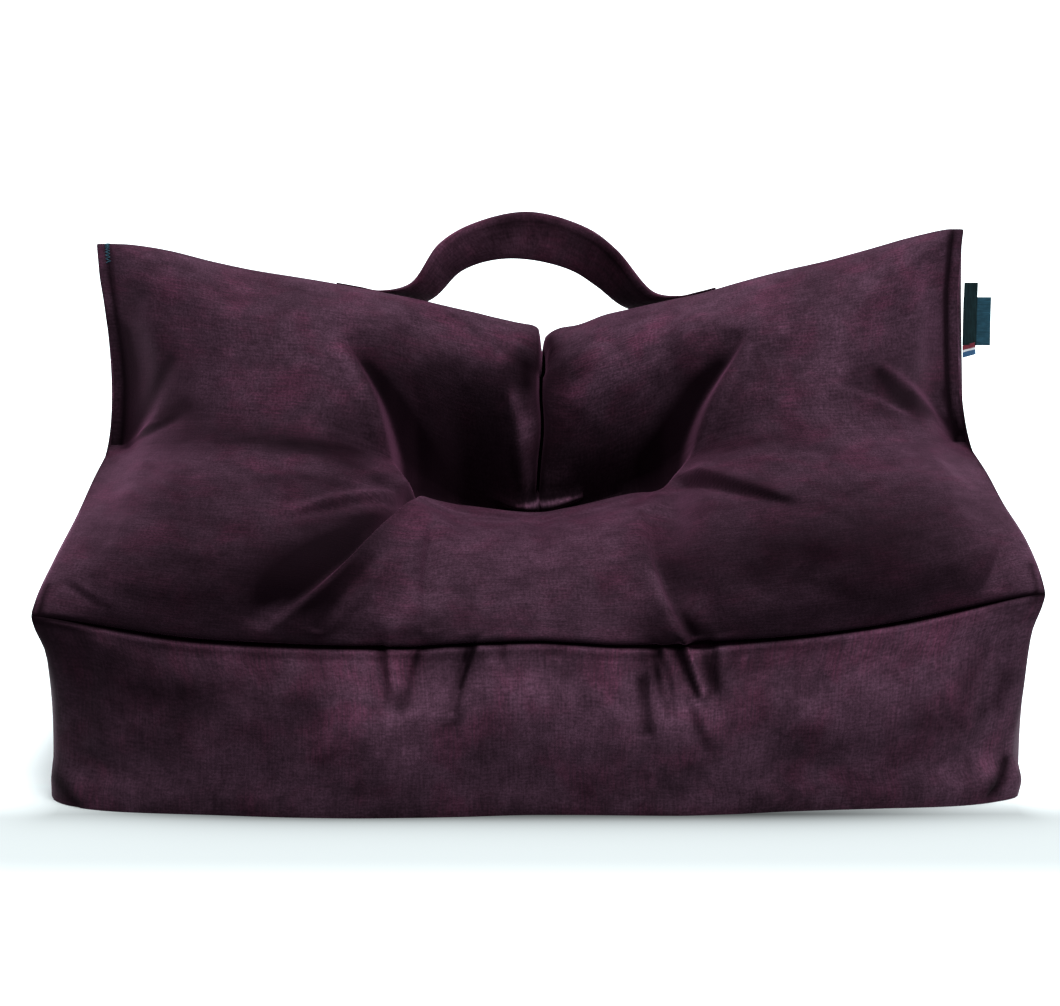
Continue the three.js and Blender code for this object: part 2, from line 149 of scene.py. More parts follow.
def ease(value: Grid, low: float, high: float) -> Grid:
    """A smooth step from 0 at low to 1 at high."""
    t = np.clip((value - low) / (high - low), 0, 1)
    return t * t * (3 - 2 * t)


def between(value: Grid, rise: Pair, fall: Pair) -> Grid:
    """A smooth step from 0 up to 1 over the rise, and down to 0 again over the fall."""
    return ease(value, *rise) * (1 - ease(value, *fall))


def bell(value: Grid, middle: float, width: float) -> Grid:
    """A bell curve, 1 in the middle and 1/e at its width on both sides."""
    return np.exp(-(((value - middle) / width) ** 2))


def pinch(away: Grid, radius: Grid) -> Grid:
    """How far in a place lies between two round edges that meet: 1 where they meet, 0 from the radius on."""
    near = 1 - np.clip(np.abs(away) / radius, 0, 1)
    return 1 - np.sqrt(1 - near * near)


def stops(start: float, steps: Steps) -> Grid:
    """Splits a line into steps.

    Args:
        start: where the line starts.
        steps: for each stretch, where it ends and its number of steps.

    Returns:
        The places of all the steps, with the start.
    """
    places = [start]
    for end, count in steps:
        places.extend(np.linspace(places[-1], end, count + 1)[1:])
    return np.array(places)


def patchy(seed: int, first: Grid, second: Grid, period: int = 64, start: int = 20) -> Grid:
    """Smooth unevenness between -1 and 1, a unit to a patch, the same on every run.

    Args:
        seed: chooses the pattern.
        first: places along the first direction, in patches.
        second: places along the second direction, in patches.
        period: the number of patches after which the pattern repeats.
        start: where on the pattern the places start.

    Returns:
        The unevenness at each place.
    """
    lattice = np.random.default_rng(seed).uniform(-1, 1, (period, period))
    first, second = first + start, second + start
    i, j = np.floor(first).astype(int), np.floor(second).astype(int)
    s, t = ease(first - i, 0, 1), ease(second - j, 0, 1)

    def corner(a: int, b: int) -> Grid:
        return lattice[(i + a) % period, (j + b) % period]

    low = corner(0, 0) * (1 - s) + corner(1, 0) * s
    high = corner(0, 1) * (1 - s) + corner(1, 1) * s
    return low * (1 - t) + high * t


def grid_quads(index: Grid) -> Grid:
    """The point numbers of the faces between the rows and columns of a grid of point numbers."""
    return np.stack([index[:-1, :-1], index[:-1, 1:], index[1:, 1:], index[1:, :-1]], -1)


def run_of(points: Grid) -> Grid:
    """How far along a line each of its points lies."""
    return np.concatenate([[0], np.cumsum(np.linalg.norm(np.diff(points, axis=0), axis=-1))])


def points_at(places: Grid, known: Grid, points: Grid) -> Grid:
    """The points at places along a line that goes through points at known places."""
    return np.stack([np.interp(places, known, points[:, k]) for k in range(3)], -1)


SECTIONS = Table(("across", "floor_y", "seam_y", "seam_z", "valley_y", "valley_z", "ridge_z"), (
    (-300, -173, -160, 121, 60, 190, 322), (-262, -180, -164, 114, -16, 211, 317),
    (-200, -187, -170, 107, -54, 217, 303), (-150, -193, -173, 105, -46, 213, 296),
    (-110, -195, -174, 104, -12, 196, 289), (-80, -194, -175, 104, 34, 166, 283),
    (-50, -192, -176, 106, 74, 143.5, 276), (0, -187, -176, 108, 88, 134, 265),
    (20, -187, -176, 107, 85, 138.5, 264), (50, -188, -175, 105, 74, 149.5, 273),
    (84, -189, -174, 105, 34, 171.5, 281), (115, -186, -173, 107, -12, 200, 288),
    (155, -179, -171, 110, -46, 216, 298), (205, -173, -168, 116, -54, 220, 308),
    (262, -167, -162, 126, -16, 214, 322), (300, -157, -158, 135, 60, 192, 332),
))
CURVES = Table((
    "middle", "seam_angle", "seam_pull", "seat_angle", "seat_pull", "lobe_angle", "lobe_pull", "ridge_pull",
), (
    (0, 84, 46, -45, 36, 118, 96, 54), (60, 88, 50, -30, 40, 112, 90, 55), (100, 96, 58, 6, 48, 82, 70, 58),
    (140, 100, 60, 20, 46, 52, 58, 62), (200, 100, 60, 24, 46, 42, 58, 68),
    (300, 92, 60, 24, 54, 66, 48, 46),
))
REACH = Table(("up", "left", "right"), (
    (0, 308, 304), (0.1, 308, 306), (0.25, 305, 300), (0.5, 304, 304.5), (0.78, 308, 308.5),
    (0.93, 314.5, 314.5), (1, 316, 316), (1.06, 315, 315.5), (1.25, 308, 311), (1.5, 299, 302),
    (1.75, 293.5, 297), (2, 288, 290), (2.2, 286, 284.8), (2.5, 292.5, 284), (2.7, 297, 286.4),
    (2.95, 298.8, 288.8), (2.985, 298, 288), (3, 296.4, 286.4), (3.04, 298.2, 288), (3.5, 289, 287),
    (4, 287, 288), (4.5, 300, 300), (5, 303, 303),
))
GIRTH = Table(("up", "length"), ((0, 0), (1, 112), (2, 340), (3, 490), (4, 640), (5, 830)))
CREASE = Table(("up", "left", "right", "share", "slit", "sway"), (
    (2, 20, 20, 0, 0.7, -4), (2.12, 30, 30, 0.7, 0.7, -1.8), (2.25, 31, 32, 0.9, 0.8, 0.4),
    (2.4, 32, 34, 1, 1.1, -0.8), (2.58, 30, 34, 1, 1.5, -0.4), (2.75, 22, 32, 0.95, 1.6, 0.9),
    (2.86, 14, 26, 0.9, 1.9, 1.2), (3, 8, 20, 0.8, 1.1, 0), (3.3, 20, 24, 0.4, 1.1, 0),
    (3.8, 26, 26, 0.1, 1.1, 0), (4.2, 26, 26, 0, 1.1, 0),
))
FOLD_COLUMNS = (
    "across", "up", "to_across", "to_up", "bow", "depth", "trough", "to_trough", "lip", "lip_width", "side",
    "fade", "edge")
FOLDS = Table(FOLD_COLUMNS, (
    (-84, 1.84, -132, 2.52, 3, 24, 46, 18, 5, 16, 1, 0.7, 4),
    (88, 1.87, 148, 2.52, -3, 25, 46, 18, 2.5, 16, -1, 0.7, 4),
    (-82, 1.74, -163, 1.05, -8, 15, 26, 36, 4.5, 16, 1, 0.7, 4),
    (-92, 1.77, -162, 1.51, 0, 4.8, 13, 18, 3.2, 8, -1, 0.6, 3.6),
    (88, 1.03, 70, 1.62, -7, 8, 26, 40, 3, 14, 1, 0.7, 5),
    (104, 1.81, 168, 1.53, 5, 8, 13, 20, 2.4, 12, 1, 0.8, 3.2),
    (-92, 1.84, -200, 1.96, -5, 1, 16, 24, 0.5, 22, 1, 0.7, 14),
    (104, 1.88, 196, 1.97, 5, 1, 14, 22, 0.5, 22, -1, 0.7, 14),
    (-284, 1.99, -250, 2.34, 3, 6, 10, 12, 2, 12, -1, 0.8, 6),
    (-16, 2.024, 32, 2.018, 0.6, 0.5, 5, 5, 6, 3.5, 1, 0.05, 2),
    (290, 2.03, 232, 2.32, 4, 9, 13, 12, 3.5, 12, 1, 0.7, 4),
))
PUCKERS = Table(FOLD_COLUMNS, (
    (-90, 0.98, -90, 0.7, 0, 2.9, 7, 8, 1.8, 6, 1, 0.45, 2.6),
    (-71, 0.97, -81, 0.64, 1, 2.3, 9, 9, 1.4, 6, -1, 0.45, 3),
    (-38, 0.96, -50, 0.6, 2, 4.8, 7, 9, 2.2, 7, 1, 0.4, 2.6),
    (-100, 1.32, -128, 1.05, 0, 3, 14, 14, 1, 10, 1, 0.2, 6),
    (-20, 0.97, -20, 0.86, 0, 1.2, 5, 5, 0.6, 5, 1, 0.5, 2.4),
    (65, 0.86, 69, 0.48, 0, 3.2, 9, 10, 1.5, 8, 1, 0.4, 3.2),
    (72, 0.97, 84, 0.6, -2, 3.6, 7, 8, 1.8, 6, 1, 0.45, 2.6),
    (86, 0.985, 99, 0.68, 0, 5.6, 8, 8, 3.2, 5, 1, 0.45, 2.4),
    (104, 0.98, 110, 0.7, 0, 2.8, 9, 9, 1.2, 8, 1, 0.45, 3),
    (92, 0.68, 106, 0.4, 0, 2.6, 9, 10, 1.2, 9, 1, 0.4, 3.4),
    (-21, 2.4, -13, 2.08, 0, 1.5, 12, 10, 4.5, 9, 1, 0.2, 5),
    (298, 0.78, 285, 0.46, 1, 6, 9, 10, 2.4, 8, 1, 0.25, 2.4),
    (294, 0.25, 277, 0.05, 0, 6, 8, 8, 3, 8, -1, 0.2, 2),
    (-298, 0.21, -278, 0.01, 0, 5, 7, 7, 2, 7, 1, 0.2, 2),
    (-71, 1.45, -66, 1.06, 2, 2.2, 14, 10, 1.2, 9, -1, 0.4, 3),
    (-282, 1.15, -254, 1.07, 0, 3.5, 12, 9, 1, 8, 1, 0.5, 3),
    (287, 1.3, 262, 1.06, 2, 4, 12, 12, 1.6, 12, -1, 0.5, 4),
    (-280, 2.0, -246, 2.1, 2, 3.5, 8, 8, 1.2, 9, 1, 0.6, 3),
    (248, 2.1, 204, 2.21, 2, 3.5, 9, 9, 1.4, 9, 1, 0.5, 3),
))
STROKE_COLUMNS = ("across", "up", "to_across", "to_up", "width", "to_width", "amount")
# Painted light and shade on the cloth: each stroke paints it lighter where folds, lips and ridges catch the
# light, or darker in troughs, creases, the seam, the corners and where it turns from the light.
PAINTED_SHADING_STROKES = Table(STROKE_COLUMNS, (
    (-250, 1.1, -170, 1.06, 22, 22, 0.08), (-120, 1.03, 60, 1.03, 6, 6, 0.14),
    (-230, 1.3, -120, 1.38, 34, 30, -0.26), (-98, 1.6, -146, 1.25, 15, 26, -0.5),
    (-112, 1.56, -160, 1.16, 10, 14, -0.1), (90, 1.05, 79, 1.24, 5, 6, -0.32),
    (84, 1.3, 84, 1.5, 8, 8, -0.08), (-300, 0.985, 300, 0.985, 4, 4, -0.14),
    (-60, 0.88, 130, 0.87, 16, 16, -0.18), (-76, 2.04, -118, 2.38, 9, 7, -0.3),
    (76, 2.06, 126, 2.4, 9, 7, -0.3), (262, 2.06, 236, 2.25, 6, 6, -0.3),
    (92, 1.04, 250, 1.1, 28, 26, -0.12), (96, 1.34, 240, 1.36, 30, 38, -0.42),
    (107, 1.8, 158, 1.56, 5, 8, -0.32), (100, 1.71, 187, 1.45, 5, 8, 0.12),
    (120, 1.88, 190, 1.89, 6, 8, -0.15), (-96, 1.8, -165, 1.92, 9, 16, -0.2),
    (-130, 1.94, -235, 1.99, 19, 24, -0.5), (104, 1.9, 170, 1.98, 8, 15, -0.2),
    (-72, 2.08, -30, 2.16, 26, 22, -0.2), (-70, 2.28, -28, 2.4, 18, 16, -0.05),
    (-80, 1.98, -122, 2.42, 14, 8, -0.3), (78, 2.08, 40, 2.1, 18, 12, -0.1),
    (70, 2.28, 24, 2.24, 24, 18, 0.4), (60, 2.75, 220, 2.7, 40, 50, 0.19),
    (-70, 2.66, -30, 2.66, 26, 26, 0.1), (84, 1.98, 136, 2.42, 14, 8, -0.3),
    (3, 2.08, 3, 2.94, 3.5, 3, -0.9), (-7, 2.64, -6, 2.5, 7, 5, -0.35), (7, 2.84, 7, 2.95, 4, 4, -0.8),
    (-286, 1.98, -288, 2.42, 6.5, 5, -0.9), (-292, 2.46, -292, 2.95, 2, 2, -0.4),
    (291, 2.0, 292, 2.95, 2.4, 2.4, -0.6), (276, 2.3, 279, 2.95, 22, 20, 0.25),
    (-276, 2.45, -279, 2.95, 22, 20, 0.22), (298, 2.06, 298, 2.95, 3, 3, 0.12),
    (-298, 2.5, -298, 2.95, 3, 3, 0.2), (270, 2.1, 240, 2.26, 6, 5, -0.3),
    (-277, 2.12, -253, 2.33, 5, 5, -0.32), (-277, 2.02, -243, 2.13, 4, 6, -0.3),
    (20, 2.6, 80, 2.62, 22, 26, 0.15), (22, 2.4, 70, 2.42, 20, 22, 0.55),
    (-90, 1.66, -166, 1.08, 5, 7, 0.25), (-99, 1.755, -156, 1.56, 4, 7, 0.32),
    (-118, 1.74, -176, 1.71, 6, 8, -0.16), (-110, 1.6, -150, 1.49, 5, 7, -0.18),
    (-113, 1.77, -148, 1.8, 4, 7, 0.12), (-104, 1.27, -128, 1.05, 8, 8, -0.16),
    (108, 1.84, 150, 1.9, 8, 10, 0.14), (-88, 1.9, -136, 2.44, 4, 5, 0.25), (97, 1.9, 150, 2.44, 4, 5, 0.2),
    (69, 1.28, 81, 1.06, 4, 5, 0.28), (-300, 1.0, 300, 1.0, 1.6, 1.6, -0.8),
    (-284, 2.95, -24, 2.95, 5, 5, 0.18), (28, 2.95, 286, 2.95, 5, 5, 0.18),
    (-300, 0.84, -170, 0.84, 55, 55, -0.25), (-60, 0.7, 110, 0.68, 28, 30, 0.04),
    (170, 0.65, 280, 0.65, 50, 50, 0.05), (-290, 0.12, -150, 0.12, 20, 20, 0.06),
    (60, 0.1, 290, 0.12, 20, 20, 0.16), (-60, 0.06, 60, 0.06, 14, 14, 0.06),
    (-60, 1.1, 70, 1.1, 14, 14, -0.2), (-80, 1.73, -40, 1.7, 3, 3, 0.25), (-40, 1.7, 0, 1.67, 3, 3, 0.25),
    (0, 1.67, 44, 1.73, 3, 3, 0.25), (44, 1.73, 90, 1.77, 3, 3, 0.25), (-93, 0.97, -92, 0.72, 3, 3, -0.22),
    (-71, 0.95, -81, 0.68, 5, 5, -0.16), (-39, 0.96, -47, 0.78, 3.5, 3.5, -0.36),
    (-50, 0.71, -51, 0.6, 5, 5, -0.26), (-22, 0.96, -22, 0.9, 2.5, 2.5, -0.12),
    (68, 0.95, 80, 0.63, 3.5, 4, -0.28), (62, 0.82, 66, 0.54, 4, 5, -0.28),
    (84, 0.98, 95, 0.73, 3.5, 3.5, -0.3), (99, 0.96, 107, 0.75, 5, 5, -0.28),
    (89, 0.64, 102, 0.46, 5, 6, -0.13), (117, 0.97, 117, 0.88, 4, 4, -0.08),
    (75, 0.95, 78, 0.72, 2.5, 2.5, 0.1), (-84, 0.9, -91, 0.66, 3, 3, 0.1),
    (287, 0.58, 283, 0.5, 6, 5, -0.2), (294, 0.22, 281, 0.08, 3.5, 5, -0.42),
    (-297, 0.15, -283, 0.03, 5, 6, -0.28), (-240, 1.6, -140, 1.6, 50, 50, -0.28),
    (120, 1.6, 240, 1.6, 50, 50, -0.25), (-200, 2.75, -120, 2.7, 40, 40, -0.06),
    (-295, 1.0, -295, 1.13, 2, 2, -0.5), (295, 1.0, 295, 1.13, 2, 2, -0.5),
    (262, 2.15, 292, 2.05, 3.5, 4, -0.4), (289, 2.18, 296, 2.04, 2.5, 3, -0.35),
    (275, 2.2, 291, 2.09, 3, 3, 0.15), (262, 0.71, 264, 0.66, 4, 5, -0.12),
    (274, 0.5, 275, 0.46, 4, 4, -0.12), (-235, 0.7, -165, 0.7, 14, 14, -0.08),
    (160, 0.46, 225, 0.46, 18, 18, -0.08), (30, 2.76, 64, 2.76, 22, 22, -0.12),
))
# Painted highlights on the ridges and lips round the tuft, on the right lobe and on a wall pucker.
PAINTED_HIGHLIGHTS = Table(STROKE_COLUMNS, (
    (-4, 2.1, -8, 2.28, 4, 8, 0.9), (-8, 2.28, -16, 2.43, 8, 5, 0.75),
    (-7, 2.037, 23, 2.0328, 0.8, 0.75, 1.9), (-14, 2.0375, 31, 2.032, 0.55, 0.5, 1.3),
    (9, 2.11, 20, 2.12, 4, 5, 0.5), (30, 2.44, 66, 2.44, 16, 18, 0.42),
    (88.5, 0.97, 100, 0.74, 1.6, 1.6, 0.35),
))
STRAP_ARCH = Table(("outer_x", "outer_y", "outer_z", "inner_x", "inner_y", "inner_z"), (
    (-87, 114, 292, -72, 132, 280), (-67, 111, 320, -52.5, 124, 299.5), (-44, 111, 334, -31, 117, 308),
    (-6, 112, 342, -6, 112, 309), (34, 111, 331, 23, 117, 301), (54, 111, 316, 41, 124, 289),
    (80, 114, 286, 60, 132, 274),
))
# Painted light and shade along the strap: a painted highlight on its outer rim, a darker line just inside it,
# painted light in the middle and on the left arm, and painted shade on the right.
STRAP_PAINTED_SHADING = Table(("x", "width", "share", "share_width", "amount"), (
    (0, math.inf, 0, 0.1, 0.5), (0, math.inf, 0.2, 0.05, -0.22), (-8, 34, 0.62, 0.16, 0.2),
    (-72, 24, 0, math.inf, 0.4), (46, 20, 0, math.inf, -0.18),
))
UNEVEN = Table(("seed", "across", "girth", "height"), ((3, 62, 58, 1.1), (8, 23, 21, 0.28)))
WALL_PULL: Pull = (104, 36, 66, 40)
BACK_PULLS: tuple[Pull, Pull] = ((-4, 58, -88, 60), (-88, 50, -112, 40))
END_PULLS: tuple[Pull, ...] = (
    (100, 34, 100, 34), (26, 80, 12, 70), (80, 60, 5, 3), (-5, 3, -100, 60), (-70, 60, -80, 50))


@dataclass(frozen=True)
class ClothForm:
    """The form of the cushion's cloth, in millimetres, over its place across and up.

    The section at a place across is a chain of curves through the floor edge, the seam, the valley, the
    ridge and the back. Towards each side the filled section is drawn in to the sewn end, which is a corner,
    a gusset edge and a flat fin. A value of two pairs says where something begins and where it ends.
    """

    half_width: float = 300.0
    back_y: float = 168.0
    back_level: float = 150.0
    back_tuck: float = 6.0
    ridge_y: float = 98.0
    ridge_angle: float = 4.0
    top_corner_y: float = 96.0
    front_corner_y: float = -142.0
    back_corner_y: float = 146.0
    seam_corner_y: float = -160.0
    fin_depth: float = 8.5
    fin_thickness: float = 4.0
    fin_levels: Rises = ((1.85, 2.05), (3.95, 4.15))
    fin_power: int = 6
    fin_round: float = 0.62
    closing_levels: Rises = ((1.35, 2), (4, 4.6))
    wall_levels: Rises = ((0, 0.3), (4.7, 5))
    wall_power: int = 8
    floor_power: int = 10
    wall_round: float = 0.6
    soft_across: Rises = ((70, 160), (270, 292))
    soft_reach: float = 0.32
    soft_step: float = 0.16
    soft_weights: tuple[Pair, ...] = ((-1, 1), (-0.5, 2), (0, 3), (0.5, 2), (1, 1))
    seam_pinch: float = 5.5
    seam_depth: float = 3.4
    seam_shadow: float = 0.6875
    tuft_x: float = 3.0
    slit_depth: float = 11.0
    # The slit's width and levels mark where the crease gets the painted shade velvet.
    slit_width: float = 1.1
    slit_levels: Pair = (2.05, 2.97)
    sway_reach: float = 16.0
    sway_levels: Pair = (2.0, 2.06)
    run_out: float = 10.0
    trough_power: float = 1.3
    uneven_girths: Rises = ((0, 30), (790, 830))
    nearby: float = 0.004

    def length(self, up: Grid) -> Grid:
        """The length along the cloth from the front floor edge to a place up it."""
        return np.interp(up, GIRTH.column("up"), GIRTH.column("length"))

    def past(self, up: Grid, level: float) -> Grid:
        """The length along the cloth from a level to a place up it."""
        return self.length(up) - self.length(level)

    def chain(self, up: Grid, places: list[tuple[Grid, Grid]], pulls: tuple[tuple, ...]) -> Grid:
        """Points of a section that is a chain of curves, one from each level to the next.

        Args:
            up: the points' places up the cloth.
            places: where the section crosses each level, as y and z.
            pulls: for each curve, the direction in degrees (0 backwards, 90 up) and the pull with which the
                cloth leaves its start, and then with which it comes to its end.

        Returns:
            The points' y and z in the last axis.
        """
        curves = []
        for i, (start, end, pull) in enumerate(zip(places, places[1:], pulls)):
            t = np.clip(up - i, 0, 1)
            leave, come = np.radians(pull[0]), np.radians(pull[2])
            first = (start[0] + pull[1] * np.cos(leave), start[1] + pull[1] * np.sin(leave))
            second = (end[0] - pull[3] * np.cos(come), end[1] - pull[3] * np.sin(come))
            weights = ((1 - t) ** 3, 3 * (1 - t) ** 2 * t, 3 * (1 - t) * t * t, t**3)
            parts = (start, first, second, end)
            curves.append(np.stack([sum(w * part[k] for w, part in zip(weights, parts)) for k in (0, 1)], -1))
        index = np.clip(np.ceil(up) - 1, 0, len(curves) - 1)[..., None]
        return np.select([index == i for i in range(len(curves))], curves)

    def filled(self, across: Grid, up: Grid) -> Grid:
        """The filled section, as y and z."""
        none = np.zeros_like(across)
        at, bend = SECTIONS.at(across), CURVES.at(np.abs(across))
        places = [
            (at.floor_y, none), (at.seam_y, at.seam_z), (at.valley_y, at.valley_z),
            (none + self.ridge_y, at.ridge_z), (none + self.back_y, none + self.back_level),
            (none + self.back_y - self.back_tuck, none)]
        seat = (bend.seam_angle, bend.seam_pull, bend.seat_angle, bend.seat_pull)
        lobe = (bend.lobe_angle, bend.lobe_pull, self.ridge_angle, bend.ridge_pull)
        return self.chain(up, places, (WALL_PULL, seat, lobe, *BACK_PULLS))

    def sewn(self, side: Grid, up: Grid) -> Grid:
        """The sewn end on each side (-1 or 1), as y and z: corner, gusset edge and fin."""
        none = np.zeros_like(up)
        at, half = SECTIONS.at(side * self.half_width), self.fin_thickness / 2
        places = [
            (none + self.front_corner_y, none), (none + self.seam_corner_y, at.seam_z),
            (at.valley_y - half, at.valley_z), (none + self.top_corner_y, at.ridge_z),
            (at.valley_y + half, at.valley_z), (none + self.back_corner_y, none)]
        return self.chain(up, places, END_PULLS)

    def smooth(self, across: Grid, up: Grid) -> Grid:
        """The smooth form: the filled section, drawn in to the sewn end at each side."""
        share = across / self.half_width
        on_fin = between(up, *self.fin_levels)
        towards_end = np.clip(np.abs(share) / (1 - self.fin_depth / self.half_width * on_fin), 0, 1)
        at_floor = 1 - between(up, *self.wall_levels)
        wall = (1 - towards_end ** (self.wall_power + self.floor_power * at_floor)) ** self.wall_round
        fin = (1 - towards_end**self.fin_power) ** self.fin_round
        fill = (wall + (fin - wall) * between(up, *self.closing_levels))[..., None]
        sewn = self.sewn(np.where(share < 0, -1.0, 1.0), up)
        section = sewn * (1 - fill) + self.filled(across, up) * fill
        reach = np.where(share < 0, REACH.read("left", up), REACH.read("right", up))
        return np.stack([share * reach, section[..., 0], section[..., 1]], -1)

    def soft(self, across: Grid, up: Grid) -> Grid:
        """The smooth form with the valley rounded off beside the tuft."""
        near = 1 - np.clip(np.abs(up - Level.VALLEY) / self.soft_reach, 0, 1)
        step = self.soft_step * between(np.abs(across), *self.soft_across) * near
        total = sum(weight for _, weight in self.soft_weights)
        place = 0
        for steps, weight in self.soft_weights:
            at = np.clip(up + step * steps, Level.FRONT_FLOOR, Level.BACK_FLOOR)
            place = place + self.smooth(across, at) * (weight / total)
        return place

    def crease(self, x: Grid, up: Grid) -> Grid:
        """How far the cloth is drawn in along the upright crease between the lobes."""
        at, away = CREASE.at(up), x - self.tuft_x
        radius = np.where(away < 0, at.left, at.right)
        return at.share * (radius * pinch(away, radius) + self.slit_depth * bell(away, 0, at.slit))

    def seam(self, up: Grid) -> Grid:
        """How far the cloth is drawn in along the front seam, where two rounded edges meet."""
        return self.seam_depth * pinch(self.past(up, Level.SEAM), self.seam_pinch)

    def in_painted_shade(self, across: Grid, up: Grid) -> Grid:
        """Whether places lie down in the crease or in the front seam, where shade falls and the painted shade
        velvet goes.
        """
        low, high = self.slit_levels
        crease = (np.abs(across - self.tuft_x) < self.slit_width) & (up > low) & (up < high)
        return crease | (np.abs(self.past(up, Level.SEAM)) < self.seam_shadow)

    def beside(self, row: SimpleNamespace, across: Grid, girth: Grid) -> tuple[Grid, Grid, Grid]:
        """Where places lie beside the line of a fold or a stroke.

        Args:
            row: the table's row, with the line's two ends.
            across: places across.
            girth: the places' lengths along the cloth.

        Returns:
            The share of the way along the line, the length past its ends and the distance aside of it.
        """
        start = self.length(row.up)
        run_x, run_g = row.to_across - row.across, self.length(row.to_up) - start
        here_x, here_g = across - row.across, girth - start
        run = np.hypot(run_x, run_g)
        along = (here_x * run_x + here_g * run_g) / run**2
        share = np.clip(along, 0, 1)
        return share, (along - share) * run, (here_x * run_g - here_g * run_x) / run

    def fold_heights(self, table: Table, across: Grid, up: Grid) -> Grid:
        """How far a table's folds raise the cloth, less where they draw it in.

        Args:
            table: the folds, each from its deep end to the other, with a trough on one side of its line and a
                lip on the other, and half the width of the step between them.
            across: places across.
            up: places up.

        Returns:
            The height at each place.
        """
        height, girth = np.zeros_like(across), self.length(up)
        for fold in table.records():
            share, past, aside = self.beside(fold, across, girth)
            aside = fold.side * (aside - fold.bow * 4 * share * (1 - share))
            width = fold.trough + (fold.to_trough - fold.trough) * share
            trough = -fold.depth * np.exp(-((np.maximum(aside, 0) / width) ** self.trough_power))
            lip = fold.lip * bell(np.minimum(aside, 0), 0, fold.lip_width)
            strength = (1 - share) ** fold.fade * bell(past, 0, self.run_out)
            height += strength * (lip + (trough - lip) * ease(aside, -fold.edge, fold.edge))
        return height

    def stroked(self, table: Table, across: Grid, up: Grid) -> Grid:
        """How far a table's strokes paint the cloth lighter, or darker where it is less than 0: painted light
        and shade.
        """
        shade, girth = np.zeros_like(across), self.length(up)
        for stroke in table.records():
            share, past, aside = self.beside(stroke, across, girth)
            width = stroke.width + (stroke.to_width - stroke.width) * share
            shade += stroke.amount * bell(np.hypot(aside, past), 0, width)
        return shade

    def uneven(self, across: Grid, up: Grid) -> Grid:
        """The slight unevenness of a filled cloth, which ends at the floor."""
        girth = self.length(up)
        heights = 0
        for row in UNEVEN.records():
            heights = heights + row.height * patchy(row.seed, across / row.across, girth / row.girth)
        return heights * between(girth, *self.uneven_girths)

    def surface(self, across: Grid, up: Grid) -> tuple[Grid, Grid]:
        """The finished cloth before it is filled.

        Args:
            across: places across, from -half_width to half_width.
            up: places up, from 0 to 5.

        Returns:
            The places in millimetres, and the outward directions within the section.
        """
        place = self.soft(across, up)
        before = self.soft(across, np.maximum(up - self.nearby, Level.FRONT_FLOOR))
        run = self.soft(across, np.minimum(up + self.nearby, Level.BACK_FLOOR)) - before
        outward = np.stack([np.zeros_like(across), -run[..., 2], run[..., 1]], -1)
        outward /= np.linalg.norm(outward, axis=-1, keepdims=True) + TINY
        height = self.fold_heights(FOLDS, across, up) + self.fold_heights(PUCKERS, across, up)
        height += self.uneven(across, up)
        on_fin = ease(np.abs(across), self.half_width - 3 * self.fin_depth, self.half_width - self.fin_depth)
        height = height * (1 - on_fin) - self.crease(place[..., 0], up) - self.seam(up)
        sway = CREASE.read("sway", up) * bell(place[..., 0], self.tuft_x, self.sway_reach)
        place[..., 0] += sway * ease(up, *self.sway_levels)
        return place + outward * height[..., None], outward

    def fin_edge(self, side: float, up: Grid) -> Grid:
        """The outer edge of a fin at places up it, in the middle of its thickness."""
        end = np.full_like(up, side * self.half_width)
        front, back = self.smooth(end, up), self.smooth(end, 2 * Level.RIDGE - up)
        edge = (front + back) / 2
        edge[..., 0] = side * np.maximum(side * front[..., 0], side * back[..., 0])
        edge[..., 2] = front[..., 2]
        return edge


@dataclass(frozen=True)
class Grip:
    """What holds the cloth while it is filled: the sewing, the floor, the tuft and the crease."""

    seam_width: float = 9.0
    floor_girths: Rises = ((0, 24), (806, 830))
    end_width: float = 26.0
    loose: float = 0.75
    ridge_width: float = 30.0
    tuft_half: float = 70.0
    tuft_fade: float = 16.0
    tuft_level: float = 1.95
    tuft_width: float = 46.0
    crease_width: float = 12.0
    crease_levels: Rises = ((1.9, 2.1), (3.3, 3.9))
    valley_width: float = 46.0
    valley_across: Pair = (60, 110)

    def held(self, form: ClothForm, across: Grid, up: Grid) -> Grid:
        """How firmly each place of the cloth is held, from 0 to 1."""
        middle = np.abs(across)
        beside_tuft = bell(np.maximum(middle - self.tuft_half, 0), 0, self.tuft_fade)
        valley = bell(form.past(up, Level.VALLEY), 0, self.valley_width)
        return np.max(np.stack([
            bell(form.past(up, Level.SEAM), 0, self.seam_width),
            1 - between(form.length(up), *self.floor_girths),
            ease(middle, form.half_width - self.end_width, form.half_width - form.fin_depth),
            self.loose * bell(form.past(up, Level.RIDGE), 0, self.ridge_width),
            beside_tuft * bell(form.past(up, self.tuft_level), 0, self.tuft_width),
            bell(across, form.tuft_x, self.crease_width) * between(up, *self.crease_levels),
            self.loose * valley * ease(middle, *self.valley_across),
        ]), 0)


@dataclass(frozen=True)
class Noise:
    """A noise pattern, and how its place is stretched and moved first."""

    scale: float = 1.0
    detail: float = 2.0
    rough: float = 0.5
    warp: float = 0.0
    stretch: Triple = (1, 1, 1)
    move: Triple = (0, 0, 0)


